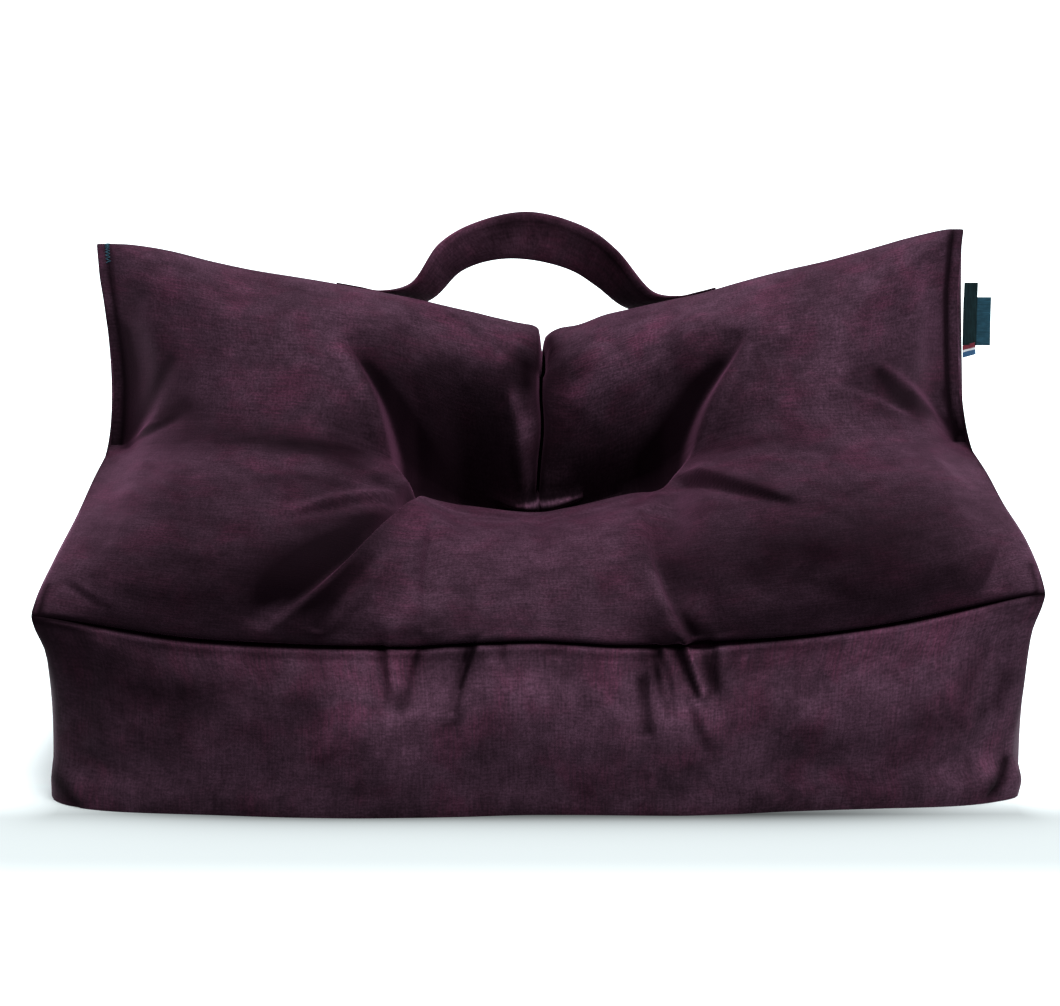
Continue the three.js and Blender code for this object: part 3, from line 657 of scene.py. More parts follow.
class NodeSheet:
    """A material's nodes, with short calls for what the finishes share."""

    noise_range: Pair = (0.3, 0.7)
    mix_inputs: tuple[int, int, int] = (0, 6, 7)
    mix_output: int = 2

    def __init__(self, name: str) -> None:
        """Starts a material with its shader."""
        self.material = bpy.data.materials.new(name)
        self.material.use_nodes = True
        self.tree = self.material.node_tree

    def put(self, socket: Socket, value: object) -> None:
        """Gives a socket its value: another socket, a number, a vector or a colour."""
        if isinstance(value, Socket):
            self.tree.links.new(value, socket)
        else:
            socket.default_value = (*value, 1.0) if socket.type == "RGBA" else value

    def node(self, kind: str, inputs: dict, output: str | int, **settings: object) -> Socket:
        """Adds a node.

        Args:
            kind: the node's kind, without the prefix that all share.
            inputs: the values of its inputs, by name or number.
            output: the name or number of the output to use.
            **settings: its own settings.

        Returns:
            The output's socket.
        """
        node = self.tree.nodes.new("ShaderNode" + kind)
        for name, value in settings.items():
            setattr(node, name, value)
        for key, value in inputs.items():
            self.put(node.inputs[key], value)
        return node.outputs[output]

    def cloth_place(self) -> Socket:
        """The place on the piece's own cloth map, in metres."""
        return self.node("UVMap", {}, "UV", uv_map=CLOTH_MAP)

    def object_place(self) -> Socket:
        """The place on the piece's Object coordinates."""
        return self.node("TexCoord", {}, "Object")

    def noise(self, place: Socket, pattern: Noise) -> Socket:
        """A noise pattern from 0 to 1."""
        moved = {"Vector": place, "Location": pattern.move, "Scale": pattern.stretch}
        at = self.node("Mapping", moved, "Vector")
        return self.node("TexNoise", {
            "Vector": at, "Scale": pattern.scale, "Detail": pattern.detail, "Roughness": pattern.rough,
            "Distortion": pattern.warp}, "Fac")

    def calc(self, kind: str, *values: object) -> Socket:
        """A sum on numbers or sockets, two at a time from the first on."""
        result = values[0]
        for value in values[1:]:
            result = self.node("Math", {0: result, 1: value}, "Value", operation=kind)
        return result

    def ranged(self, value: Socket, span: Pair, to: Pair = (0, 1)) -> Socket:
        """A number moved smoothly from one range to another."""
        ends = {"From Min": span[0], "From Max": span[1], "To Min": to[0], "To Max": to[1]}
        return self.node("MapRange", {"Value": value, **ends}, "Result", interpolation_type="SMOOTHSTEP")

    def swing(self, noise: Socket, middle: float, reach: float) -> Socket:
        """A noise pattern's usual range, moved to lie around a middle."""
        return self.ranged(noise, self.noise_range, (middle - reach, middle + reach))

    def mixed(self, share: object, first: object, second: object, kind: str = "MIX") -> Socket:
        """Two colours mixed by a share."""
        inputs = dict(zip(self.mix_inputs, (share, first, second)))
        settings = {"data_type": "RGBA", "blend_type": kind, "clamp_factor": False}
        return self.node("Mix", inputs, self.mix_output, **settings)

    def bump(self, height: Socket, strength: float, distance: float) -> Socket:
        """The direction of a surface that is raised by a height."""
        return self.node("Bump", {"Strength": strength, "Distance": distance, "Height": height}, "Normal")

    def finish(self, **values: object) -> Material:
        """Sets the shader's own sockets: a socket's name with underscores for spaces."""
        shader = self.tree.nodes["Principled BSDF"]
        for name, value in values.items():
            self.put(shader.inputs[name.replace("_", " ")], value)
        return self.material


@dataclass(frozen=True)
class VelvetFinish:
    """Dark plum velvet: mottled pile, fine streaks along the weave and a soft sheen, with painted light and
    shade mixed between its deep and lit colours.
    """

    name: str
    weave: Weave
    # deep is the painted shade colour and lit the painted light colour; the painted light attribute mixes
    # them.
    deep: Colour
    lit: Colour
    warm: Colour
    sheen: float
    sheen_tint: Colour
    sheen_roughness: float = 0.38
    roughness: float = 0.62
    gloss: float = 0.1
    streak: float = 0.16
    grain: float = 0.2
    nap: float = 0.25
    broad: float = 0.26
    small: float = 0.18
    crossing: float = 0.12
    warm_patches: Pair = (0.44, 0.68)
    warm_threads: Pair = (0.35, 0.6)
    warm_least: float = 0.3
    thread_height: float = 0.6
    grain_height: float = 0.5
    pile_length: float = 0.0006

    def material(self) -> Material:
        """The velvet as a material on the piece's cloth map."""
        sheet = NodeSheet(self.name)
        place = sheet.cloth_place()
        warp, weft = self.weave.value
        threads = sheet.noise(place, Noise(1, 3, 0.65, stretch=warp))
        crossing = sheet.noise(place, Noise(1, 2, 0.5, stretch=weft, move=(3.1, 7.7, 0)))
        grain = sheet.noise(place, Noise(640, 2, 0.6))
        broad = sheet.noise(place, Noise(21, 3, 0.55, 0.3, move=(1.3, 2.9, 0)))
        small = sheet.noise(place, Noise(80, 4, 0.65, 0.2, move=(5.3, 0.9, 0)))
        patches = sheet.noise(place, Noise(27, 3, 0.6, 0.4, move=(8.7, 4.1, 0)))
        pile = sheet.calc("ADD", sheet.swing(broad, 1, self.broad), sheet.swing(small, 0, self.small))
        across = sheet.swing(crossing, 0, self.crossing)
        lines = sheet.calc("ADD", sheet.swing(threads, 1, self.streak), across)
        tone = sheet.calc("MULTIPLY", pile, lines, sheet.swing(grain, 1, self.grain))
        # Painted light and shade: the attribute mixes the painted shade colour and the painted light colour,
        # and painted highlights go past the lit one.
        ground = sheet.mixed(sheet.node("Attribute", {}, "Fac", attribute_name=PAINTED_LIGHT), self.deep, self.lit)
        toned = sheet.mixed(1.0, ground, tone, "MULTIPLY")
        on_threads = sheet.ranged(threads, self.warm_threads, (self.warm_least, 1))
        warm_share = sheet.calc("MULTIPLY", sheet.ranged(patches, self.warm_patches), on_threads)
        warmed = sheet.mixed(warm_share, toned, sheet.mixed(1.0, toned, self.warm, "MULTIPLY"))
        raised = sheet.calc("MULTIPLY", threads, self.thread_height)
        height = sheet.calc("ADD", raised, sheet.calc("MULTIPLY", grain, self.grain_height))
        return sheet.finish(
            Base_Color=warmed,
            Normal=sheet.bump(height, self.nap, self.pile_length),
            Roughness=self.roughness,
            Sheen_Weight=self.sheen,
            Sheen_Roughness=self.sheen_roughness,
            Sheen_Tint=self.sheen_tint,
            Specular_IOR_Level=self.gloss,
            Specular_Tint=self.sheen_tint,
        )


@dataclass(frozen=True)
class TapeFinish:
    """A blank woven tape with fine ribs."""

    name: str
    dark: Colour
    light: Colour
    ribs: Triple
    roughness: float
    gloss: float = 0.12
    wear: Noise = Noise(260, 3, 0.6)
    least_rib: float = 0.2
    least_wear: float = 0.5
    relief: Pair = (0.3, 0.0003)

    def material(self) -> Material:
        """The tape as a material on the piece's cloth map."""
        sheet = NodeSheet(self.name)
        place = sheet.cloth_place()
        ribs, worn = sheet.noise(place, Noise(stretch=self.ribs)), sheet.noise(place, self.wear)
        ribbed = sheet.ranged(ribs, sheet.noise_range, (self.least_rib, 1))
        faded = sheet.ranged(worn, sheet.noise_range, (self.least_wear, 1))
        share = sheet.calc("MULTIPLY", ribbed, faded)
        return sheet.finish(
            Base_Color=sheet.mixed(share, self.dark, self.light), Normal=sheet.bump(ribs, *self.relief),
            Roughness=self.roughness, Specular_IOR_Level=self.gloss)


@dataclass(frozen=True)
class RibbonFinish:
    """A narrow ribbon woven in three bands."""

    name: str
    bands: tuple[Colour, Colour, Colour]
    edges: Pair
    roughness: float = 0.55
    sheen: float = 0.2
    gloss: float = 0.3
    weave: Noise = Noise(stretch=(60, 14, 1))
    wobble: float = 0.03
    blur: float = 0.02
    relief: Pair = (0.3, 0.0002)

    def material(self) -> Material:
        """The bands up the ribbon's own map, which runs from 0 to 1."""
        sheet = NodeSheet(self.name)
        place = sheet.cloth_place()
        threads = sheet.noise(place, self.weave)
        up = sheet.node("SeparateXYZ", {0: place}, "Y")
        up = sheet.calc("ADD", up, sheet.swing(threads, 0, self.wobble))
        colour = self.bands[0]
        for edge, band in zip(self.edges, self.bands[1:]):
            colour = sheet.mixed(sheet.ranged(up, (edge - self.blur, edge + self.blur)), colour, band)
        return sheet.finish(
            Base_Color=colour, Normal=sheet.bump(threads, *self.relief), Roughness=self.roughness,
            Sheen_Weight=self.sheen, Specular_IOR_Level=self.gloss)


@dataclass(frozen=True)
class ThreadFinish:
    """A twisted sewing thread."""

    name: str
    dark: Colour
    light: Colour
    sheen: float
    roughness: float = 0.5
    gloss: float = 0.1
    twist: Noise = Noise(stretch=(1800, 1800, 900))
    twist_range: Pair = (0.35, 0.65)
    relief: Pair = (0.3, 0.0002)

    def material(self) -> Material:
        """The twist as fine bands on Object coordinates."""
        sheet = NodeSheet(self.name)
        twist = sheet.noise(sheet.object_place(), self.twist)
        colour = sheet.mixed(sheet.ranged(twist, self.twist_range), self.dark, self.light)
        return sheet.finish(
            Base_Color=colour, Normal=sheet.bump(twist, *self.relief), Roughness=self.roughness,
            Sheen_Weight=self.sheen, Specular_IOR_Level=self.gloss)


@dataclass(frozen=True)
class FloorFinish:
    """A pale studio floor with a painted soft shadow in front of the cushion and a faint painted glow."""

    name: str = "pale_floor"
    colour: Colour = (0.834, 0.9, 0.911)
    roughness: float = 0.9
    # The floor glows faintly: a painted glow that lifts the shade beside the cushion.
    painted_glow: float = 0.15
    painted_glow_colour: Colour = (0.95, 1.0, 1.0)
    # A painted shadow: a contact shadow round the footprint, strongest in front and fainter to the sides, and
    # a wider painted shade near the cushion that fades out to the floor's own colour; all of it only in front
    # of the cushion.
    footprint: Pair = (0.3, 0.185)
    near: float = 0.017
    near_share: float = 0.5
    side_share: float = 0.15
    side_range: Pair = (0.12, 0.33)
    open_share: float = 0.43
    fades: Pair = (0.095, 0.25)
    front_range: Pair = (0.1, 0.2)

    def material(self) -> Material:
        """A matt pale material on Object coordinates, with the painted shadow and the painted glow."""
        sheet = NodeSheet(self.name)
        place = sheet.object_place()
        aside = sheet.calc("ABSOLUTE", sheet.node("SeparateXYZ", {0: place}, "X"), 0)
        ahead = sheet.calc("MULTIPLY", sheet.node("SeparateXYZ", {0: place}, "Y"), -1)
        past = (sheet.calc("SUBTRACT", far, edge) for far, edge in zip((aside, ahead), self.footprint))
        squares = [sheet.calc("POWER", sheet.calc("MAXIMUM", far, 0), 2) for far in past]
        away = sheet.calc("SQRT", sheet.calc("ADD", *squares), 0)
        # The painted contact shadow, strongest where the floor meets the cushion.
        contact_shadow = sheet.calc("EXPONENT", sheet.calc("MULTIPLY", away, -1 / self.near), 0)
        strength = sheet.ranged(aside, self.side_range, (self.near_share, self.side_share))
        # Painted shade near the cushion, fading out over the floor.
        painted_floor_shade = sheet.ranged(away, self.fades, (self.open_share, 1))
        shaded = sheet.calc("SUBTRACT", painted_floor_shade, sheet.calc("MULTIPLY", contact_shadow, strength), 1)
        share = sheet.calc("ADD", sheet.calc("MULTIPLY", sheet.ranged(ahead, self.front_range), shaded), 1)
        return sheet.finish(
            Base_Color=sheet.mixed(1.0, self.colour, share, "MULTIPLY"), Roughness=self.roughness,
            Specular_IOR_Level=0.0, Emission_Color=self.painted_glow_colour, Emission_Strength=self.painted_glow)


def select_only(piece: Piece) -> None:
    """Selects one object and makes it active."""
    bpy.ops.object.select_all(action="DESELECT")
    piece.select_set(True)
    bpy.context.view_layer.objects.active = piece


def apply_all(piece: Piece) -> None:
    """Applies a piece's modifiers in order."""
    select_only(piece)
    for modifier in list(piece.modifiers):
        bpy.ops.object.modifier_apply(modifier=modifier.name)


def piece_from(name: str, points: Grid, faces: list[list[int]]) -> Piece:
    """A new object from points in millimetres, by any grid, and faces that turn outwards."""
    mesh = bpy.data.meshes.new(name)
    mesh.from_pydata((points.reshape(-1, 3) * MM).tolist(), [], faces)
    mesh.update()
    piece = bpy.data.objects.new(name, mesh)
    bpy.context.scene.collection.objects.link(piece)
    return piece


def shade(piece: Piece, degrees: float) -> None:
    """Shades a piece smooth, but for edges sharper than an angle."""
    select_only(piece)
    bpy.ops.object.shade_smooth_by_angle(angle=math.radians(degrees))


def set_map(piece: Piece, corners: Grid) -> None:
    """Gives a piece its cloth map, from a place for each face corner."""
    layer = piece.data.uv_layers.new(name=CLOTH_MAP)
    layer.data.foreach_set("uv", np.ascontiguousarray(corners, np.float32).ravel())


def set_grid_map(piece: Piece, along: Grid, aside: Grid) -> None:
    """Gives a piece whose points form a grid its cloth map.

    Args:
        piece: the piece, before any modifier.
        along: the map's first place, by the grid's rows (an upright array) or by its columns.
        aside: the map's second place, by the other of the two.
    """
    index = np.empty(len(piece.data.loops), np.int32)
    piece.data.loops.foreach_get("vertex_index", index)
    places = np.stack(np.broadcast_arrays(along, aside), -1).reshape(-1, 2)
    set_map(piece, places[index])


def set_painted_light(piece: Piece, painted_shading: Grid, painted_highlight: Grid, rest: float, lift: float,
             facing: Pair = (0.1, 1.0)) -> None:
    """Paints light and shade into a piece's point attribute: painted shading strokes, painted top light where
    the cloth faces upwards, and painted highlights.

    Args:
        piece: the piece to mark.
        painted_shading: how far each point is painted lighter, or darker where it is less than 0.
        painted_highlight: how much lighter still the folds that catch the light are painted.
        rest: the painted lightness on upright cloth.
        lift: how much lighter cloth that faces upwards is painted, as painted top light.
        facing: how far the cloth faces upwards where the painted top light begins, and where it is strongest.
    """
    mesh = piece.data
    normals = np.empty(3 * len(mesh.vertices), np.float32)
    mesh.vertices.foreach_get("normal", normals)
    upward = ease(normals.reshape(-1, 3)[:, 2], *facing)
    # Painted light: lighter where the cloth faces upwards, painted lighter or darker by the strokes, with
    # painted highlights on top.
    pile = np.clip(rest + lift * upward + painted_shading, 0, 1) + painted_highlight
    layer = mesh.attributes.new(PAINTED_LIGHT, "FLOAT", "POINT")
    layer.data.foreach_set("value", pile.astype(np.float32))


@dataclass(frozen=True)
class ClothFill:
    """A short cloth simulation that fills the sleeve and keeps the small folds that it makes."""

    stride: int = 3
    frames: int = 20
    pressure: float = 4.0
    slack: float = 0.03
    quality: int = 6
    mass: float = 0.25
    tension: float = 12.0
    shear: float = 6.0
    bending: float = 0.4
    damping: float = 2.0
    grip_stiffness: float = 3.0
    most: float = 7.0
    blur_passes: int = 40
    broad_share: float = 0.25

    def relaxed(self, places: Grid, held: Grid) -> Grid:
        """Fills the sleeve.

        Args:
            places: the sleeve's points by row and column, in millimetres.
            held: how firmly each point is held, from 0 to 1.

        Returns:
            The points after the filling.
        """
        rows, columns = (self.every(count) for count in held.shape)
        cage, grip = places[np.ix_(rows, columns)], held[np.ix_(rows, columns)]
        moved = self.simulated(cage, grip) - cage
        broad = moved
        for _ in range(self.blur_passes):
            broad = self.blurred(broad)
        kept = (moved - broad * (1 - self.broad_share)) * (1 - grip[..., None])
        length = np.linalg.norm(kept, axis=-1, keepdims=True)
        kept *= self.most * np.tanh(length / self.most) / np.maximum(length, TINY)
        return places + self.spread(kept, rows, columns, places.shape)

    def every(self, count: int) -> Grid:
        """The rows or columns that the simulation uses."""
        return np.unique(np.append(np.arange(0, count, self.stride), count - 1))

    def blurred(self, values: Grid) -> Grid:
        """Values on a grid, each averaged with its neighbours."""
        wide = np.pad(values, ((1, 1), (1, 1), (0, 0)), mode="edge")
        across = (wide[:, :-2] + 2 * wide[:, 1:-1] + wide[:, 2:]) / 4
        return (across[:-2] + 2 * across[1:-1] + across[2:]) / 4

    def spread(self, values: Grid, rows: Grid, columns: Grid, shape: tuple[int, ...]) -> Grid:
        """Values on the simulation's grid, spread over the fine grid."""
        wide = np.stack([points_at(np.arange(shape[1]), columns, row) for row in self.blurred(values)])
        lines = wide.reshape(len(rows), -1).T
        tall = np.stack([np.interp(np.arange(shape[0]), rows, line) for line in lines], -1)
        return self.blurred(self.blurred(tall.reshape(shape)))

    def simulated(self, cage: Grid, grip: Grid) -> Grid:
        """Runs Blender's cloth on the cage.

        Args:
            cage: the points by row and column, in millimetres.
            grip: how firmly each is held.

        Returns:
            The points after the last frame.
        """
        index = np.arange(grip.size).reshape(grip.shape)
        piece = piece_from("fill_cage", cage, grid_quads(index).reshape(-1, 4).tolist())
        mesh, scene = piece.data, bpy.context.scene
        group = piece.vertex_groups.new(name="held")
        for i, weight in enumerate(grip.ravel()):
            group.add([i], float(weight), "REPLACE")
        cloth = piece.modifiers.new("fill", "CLOTH")
        settings = cloth.settings
        settings.quality = self.quality
        settings.mass = self.mass
        settings.tension_stiffness = settings.compression_stiffness = self.tension
        settings.shear_stiffness = self.shear
        settings.bending_stiffness = self.bending
        settings.air_damping = self.damping
        settings.shrink_min = settings.shrink_max = -self.slack
        settings.use_pressure = True
        settings.uniform_pressure_force = self.pressure
        settings.vertex_group_mass = group.name
        settings.pin_stiffness = self.grip_stiffness
        settings.effector_weights.gravity = 0
        cloth.collision_settings.use_collision = False
        cloth.point_cache.frame_start, cloth.point_cache.frame_end = 1, self.frames
        for step in range(1, self.frames + 1):
            scene.frame_set(step)
        apply_all(piece)
        scene.frame_set(1)
        points = np.empty(3 * len(mesh.vertices))
        mesh.vertices.foreach_get("co", points)
        bpy.data.objects.remove(piece)
        bpy.data.meshes.remove(mesh)
        return points.reshape(cage.shape) / MM


@dataclass
class CushionBody:
    """The filled body: the cloth from floor to floor, the two side gussets with their fins, and the base."""

    form: ClothForm
    finishes: dict[Panel, VelvetFinish]
    grip: Grip
    fill: ClothFill
    name: str = "cushion_cover"
    # Painted light on the velvet: its level on upright cloth, and painted top light on cloth that faces
    # upwards.
    painted_light_rest: float = 0.3
    painted_top_light: float = 0.5
    sharp: float = 55.0
    side_bulge: float = 16.0
    swell_ends: Pair = (1.0, 1.5)
    drawn_half: float = 288.0
    gusset_fill_depth: float = 120.0
    gusset_passes: int = 30
    side_steps: int = 10
    half_steps: Steps = ((20, 18), (110, 58), (160, 22), (262, 32), (288, 14), (300, 5))
    up_steps: Steps = ((0.9, 36), (0.985, 8), (1, 4), (1.008, 4), (1.06, 8), (2, 92), (2.06, 20), (2.12, 7),
                       (3, 56), (4, 26), (5, 54))

    def build(self) -> Piece:
        """Builds the body's mesh.

        Returns:
            The new object, at the origin.
        """
        half, ups = stops(0, self.half_steps), stops(Level.FRONT_FLOOR, self.up_steps)
        across, up = np.meshgrid(np.concatenate([-half[:0:-1], half]), ups)
        places = self.places(across, up)
        index = np.arange(across.size).reshape(across.shape)
        quads, base = grid_quads(index).reshape(-1, 4), grid_quads(index[[-1, 0]]).reshape(-1, 4)
        cloth = np.stack([across, self.form.length(up)], -1).reshape(-1, 2)
        points = places.reshape(-1, 3)
        faces = [*quads.tolist(), *base.tolist()]
        maps = [cloth[quads.ravel()], points[base.ravel(), :2]]
        rows = self.rung_rows(ups)
        for side, column in ((-1, 0), (1, -1)):
            inner = self.gusset(places[:, column], ups, rows[:-1], side)
            numbers = len(points) + np.arange(inner.size // 3).reshape(inner.shape[:2])
            side_faces = self.gusset_faces(numbers, index[:, column], rows, side)
            points = np.concatenate([points, inner.reshape(-1, 3)])
            faces.extend(side_faces)
            maps.append(points[np.concatenate(side_faces), 1:])
        piece = piece_from(self.name, points, faces)
        set_map(piece, np.concatenate(maps) * MM)
        for panel in Panel:
            piece.data.materials.append(self.finishes[panel].material())
        panels = np.full(len(faces), Panel.WALL.value, np.int32)
        panels[: len(quads)] = self.panels(across, up).ravel()
        piece.data.polygons.foreach_set("material_index", panels)
        rest = (0, len(points) - across.size)
        # Painted light and shade: the strokes and the painted highlights, none on the gussets' points.
        painted_shading, painted_highlight = (self.form.stroked(table, across, up).ravel() for table in (PAINTED_SHADING_STROKES, PAINTED_HIGHLIGHTS))
        set_painted_light(piece, np.pad(painted_shading, rest), np.pad(painted_highlight, rest), self.painted_light_rest, self.painted_top_light)
        shade(piece, self.sharp)
        return piece

    def places(self, across: Grid, up: Grid) -> Grid:
        """The cloth's points on the floor, filled by the cloth simulation."""
        places, _ = self.form.surface(across, up)
        places = self.fill.relaxed(places, self.grip.held(self.form, across, up))
        places[[0, -1], :, 2] = 0
        places[..., 2] = np.maximum(places[..., 2], 0)
        return places

    def panels(self, across: Grid, up: Grid) -> Grid:
        """The panel of each face between the rows and columns of the cloth, with painted shade in the crease
        and the front seam.
        """
        across, up = ((grid[:-1, :-1] + grid[1:, 1:]) / 2 for grid in (across, up))
        outside = np.where(up < Level.SEAM, Panel.WALL.value, Panel.TOP.value)
        return np.where(self.form.in_painted_shade(across, up), Panel.FOLD.value, outside)

    def rung_rows(self, ups: Grid) -> list[int]:
        """The front row that lies across from each back row, from the floor up, and then the ridge's row."""
        length, past = self.form.length, self.form.past
        ridge_row = int(np.argmin(np.abs(ups - Level.RIDGE)))
        back = ups[:ridge_row:-1]
        behind = past(Level.BACK_FLOOR, back) / past(Level.BACK_FLOOR, Level.BACK)
        across = np.where(back < Level.BACK, length(2 * Level.RIDGE - back), behind * length(Level.VALLEY))
        return [*np.searchsorted(length(ups[: ridge_row + 1]), across).tolist(), ridge_row]

    def gusset(self, edge: Grid, ups: Grid, rows: list[int], side: int) -> Grid:
        """The inner points of a side gusset, on rungs from the cloth's front rows to its back rows.

        Args:
            edge: the points of the cloth's end column.
            ups: each row's place up the cloth.
            rows: the front row of each rung.
            side: -1 for the left, 1 for the right.

        Returns:
            The points by rung and step.
        """
        start, end = edge[rows][:, None], edge[: -len(rows) - 1 : -1][:, None]
        share = np.arange(1, self.side_steps)[:, None] / self.side_steps
        swell = 1 - ease(ups[rows], *self.swell_ends)[:, None, None]
        line = start + (end - start) * share
        flare = start[..., :1] * (1 - share) ** 3 + end[..., :1] * share**3
        rest = 1 - (1 - share) ** 3 - share**3
        half = self.drawn_half + (self.form.half_width - self.drawn_half) * swell
        filled = flare + side * (half * rest + self.side_bulge * swell * np.sin(np.pi * share))
        fill = np.clip((end - start)[..., 1:2] / self.gusset_fill_depth, 0, 1)
        line[..., :1] += (filled - line[..., :1]) * fill
        for _ in range(self.gusset_passes):
            line[1:-1] = (line[:-2] + 2 * line[1:-1] + line[2:]) / 4
        return line

    def gusset_faces(self, numbers: Grid, edge: Grid, rows: list[int], side: int) -> list[list[int]]:
        """The faces of a side gusset, between its rungs.

        Args:
            numbers: the numbers of its inner points, by rung and step.
            edge: the point numbers of the cloth's end column.
            rows: the front row of each rung, and then the row of the ridge.
            side: -1 for the left, 1 for the right.

        Returns:
            The faces, turned outwards.
        """
        rungs = np.column_stack([edge[rows[:-1]], numbers, edge[: -len(rows) : -1]]).tolist()
        ends, steps = edge.tolist(), range(1, self.side_steps)
        floor, top, corner = rungs[0], rungs[-1], ends[rows[-1]]
        faces = []
        for low, high, row, next_row in zip(rungs, rungs[1:], rows, rows[1:]):
            faces.append([low[0], low[1], high[1], high[0], *ends[next_row - 1 : row : -1]])
            faces.extend([low[k], low[k + 1], high[k + 1], high[k]] for k in steps)
        faces.append([top[0], top[1], corner, *ends[rows[-1] - 1 : rows[-2] : -1]])
        faces.extend([top[k], top[k + 1], corner] for k in steps)
        faces.extend([floor[0], floor[k + 1], floor[k]] for k in steps)
        return [face[::side] for face in faces]

    def dress(self, piece: Piece) -> None:
        """Puts the body in the frame, in place of the imported body, which it hides."""
        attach(piece, BODY)
        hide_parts("cushion_body")


def smooth_line(points: Grid, places: Grid) -> Grid:
    """A centripetal line through points.

    Args:
        points: the points, with as many more axes as needed between the first and the last.
        places: where to read the line, from 0 at the first point to 1 at the last.

    Returns:
        The points of the line.
    """
    padded = np.concatenate([2 * points[:1] - points[1:2], points, 2 * points[-1:] - points[-2:-1]])
    line = []
    for place in places * (len(points) - 1):
        i = min(int(place), len(points) - 2)
        a, b, c, d = padded[i : i + 4]
        before, here, after = (
            np.sqrt(np.linalg.norm(q - p, axis=-1, keepdims=True)) for p, q in ((a, b), (b, c), (c, d)))
        leave = ((b - a) / before - (c - a) / (before + here) + (c - b) / here) * here
        come = ((c - b) / here - (d - b) / (here + after) + (d - c) / after) * here
        line.append(hermite(place - i, b, c, leave, come))
    return np.stack(line)


@dataclass
class CarryStrap:
    """The carry strap: tails that lie on the back below the ridge, and a free arch between them."""

    form: ClothForm
    finish: VelvetFinish
    name: str = "carry_strap_cover"
    # Painted light on the strap: its level on upright cloth, painted top light on faces that look upwards,
    # and a painted highlight on the left arm.
    painted_light_rest: float = 0.5
    painted_top_light: float = 0.3
    arm_painted_highlight: float = 0.55
    arm_place: Pair = (-70, 22)
    patch_seed: int = 5
    patch_height: float = 0.12
    patch_length: float = 13.0
    patches_across: float = 2.2
    cloth_width: float = 31.0
    thickness: float = 5.0
    tail_thickness: float = 2.0
    lift: float = 0.3
    left_tail: Triple = (-138.0, -122.0, -108.0)
    right_tail: Triple = (101.0, 113.0, 127.0)
    outer_up: float = 3.07
    inner_up: float = 3.32
    arch_places: Rises = ((0.1, 0.3), (0.7, 0.9))
    side_power: float = 0.9
    face_power: float = 0.55
    lanes: int = 5
    steps: int = 150
    around: int = 40

    def lane(self, share: float) -> Grid:
        """The points that the strap follows, at a share of its width from the outer edge."""
        up = self.outer_up + (self.inner_up - self.outer_up) * share

        def on_back(tail: Triple) -> Grid:
            across = np.array(tail)
            place, outward = self.form.surface(across, np.full_like(across, up))
            return place + outward * (self.lift + self.tail_thickness / 2)

        rows = np.array(STRAP_ARCH.rows, float)
        arch = rows[:, :3] + (rows[:, 3:] - rows[:, :3]) * share
        return np.concatenate([on_back(self.left_tail), arch, on_back(self.right_tail)])

    def build(self) -> Piece:
        """Builds the strap as a soft flat tube.

        Returns:
            The new object, at the origin.
        """
        turns = np.arange(self.around) / self.around * 2 * np.pi
        shares = 0.5 - 0.5 * np.sign(np.cos(turns)) * np.abs(np.cos(turns)) ** self.side_power
        rises = np.sign(np.sin(turns)) * np.abs(np.sin(turns)) ** self.face_power
        lanes, places = np.linspace(0, 1, self.lanes), np.linspace(0, 1, self.steps + 1)
        lines = smooth_line(np.stack([self.lane(share) for share in lanes], 1), places)
        middle = lines[:, self.lanes // 2]
        outward = np.cross(np.gradient(middle, axis=0), lines[:, -1] - lines[:, 0])
        outward /= np.linalg.norm(outward, axis=-1, keepdims=True)
        on_tail = 1 - between(places, *self.arch_places)
        depth = self.thickness + (self.tail_thickness - self.thickness) * on_tail
        points = np.stack([points_at(shares, lanes, line) for line in lines])
        points += outward[:, None] * (rises * depth[:, None] / 2)[..., None]
        index = np.arange(points.size // 3).reshape(-1, self.around)
        following = np.roll(index, -1, axis=1)
        quads = np.stack([index[:-1], index[1:], following[1:], following[:-1]], -1).reshape(-1, 4)
        piece = piece_from(self.name, points, [*quads.tolist(), index[0].tolist(), index[-1, ::-1].tolist()])
        girth = np.where(turns <= np.pi, turns, 2 * np.pi - turns) / np.pi * self.cloth_width
        set_grid_map(piece, run_of(middle)[:, None] * MM, girth * MM)
        piece.data.materials.append(self.finish.material())
        painted_highlight = self.arm_painted_highlight * bell(points[..., 0], *self.arm_place)
        painted_shading = self.painted_shading(points[..., 0], shares)
        set_painted_light(piece, painted_shading.ravel(), painted_highlight.ravel(), self.painted_light_rest, self.painted_top_light)
        shade(piece, ROUND_ANGLE)
        return piece

    def painted_shading(self, x: Grid, shares: Grid) -> Grid:
        """How far the strap is painted lighter or darker, at places along it and shares of its width: painted
        light and shade strokes, with a random patchy tone.
        """
        patches = patchy(self.patch_seed, x / self.patch_length, shares * self.patches_across)
        strokes = (row.amount * bell(x, row.x, row.width) * bell(shares, row.share, row.share_width)
                   for row in STRAP_PAINTED_SHADING.records())
        return sum(strokes) + self.patch_height * patches

    def dress(self, piece: Piece) -> None:
        """Puts the strap in the frame."""
        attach(piece, BODY)
        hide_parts("carry_strap")


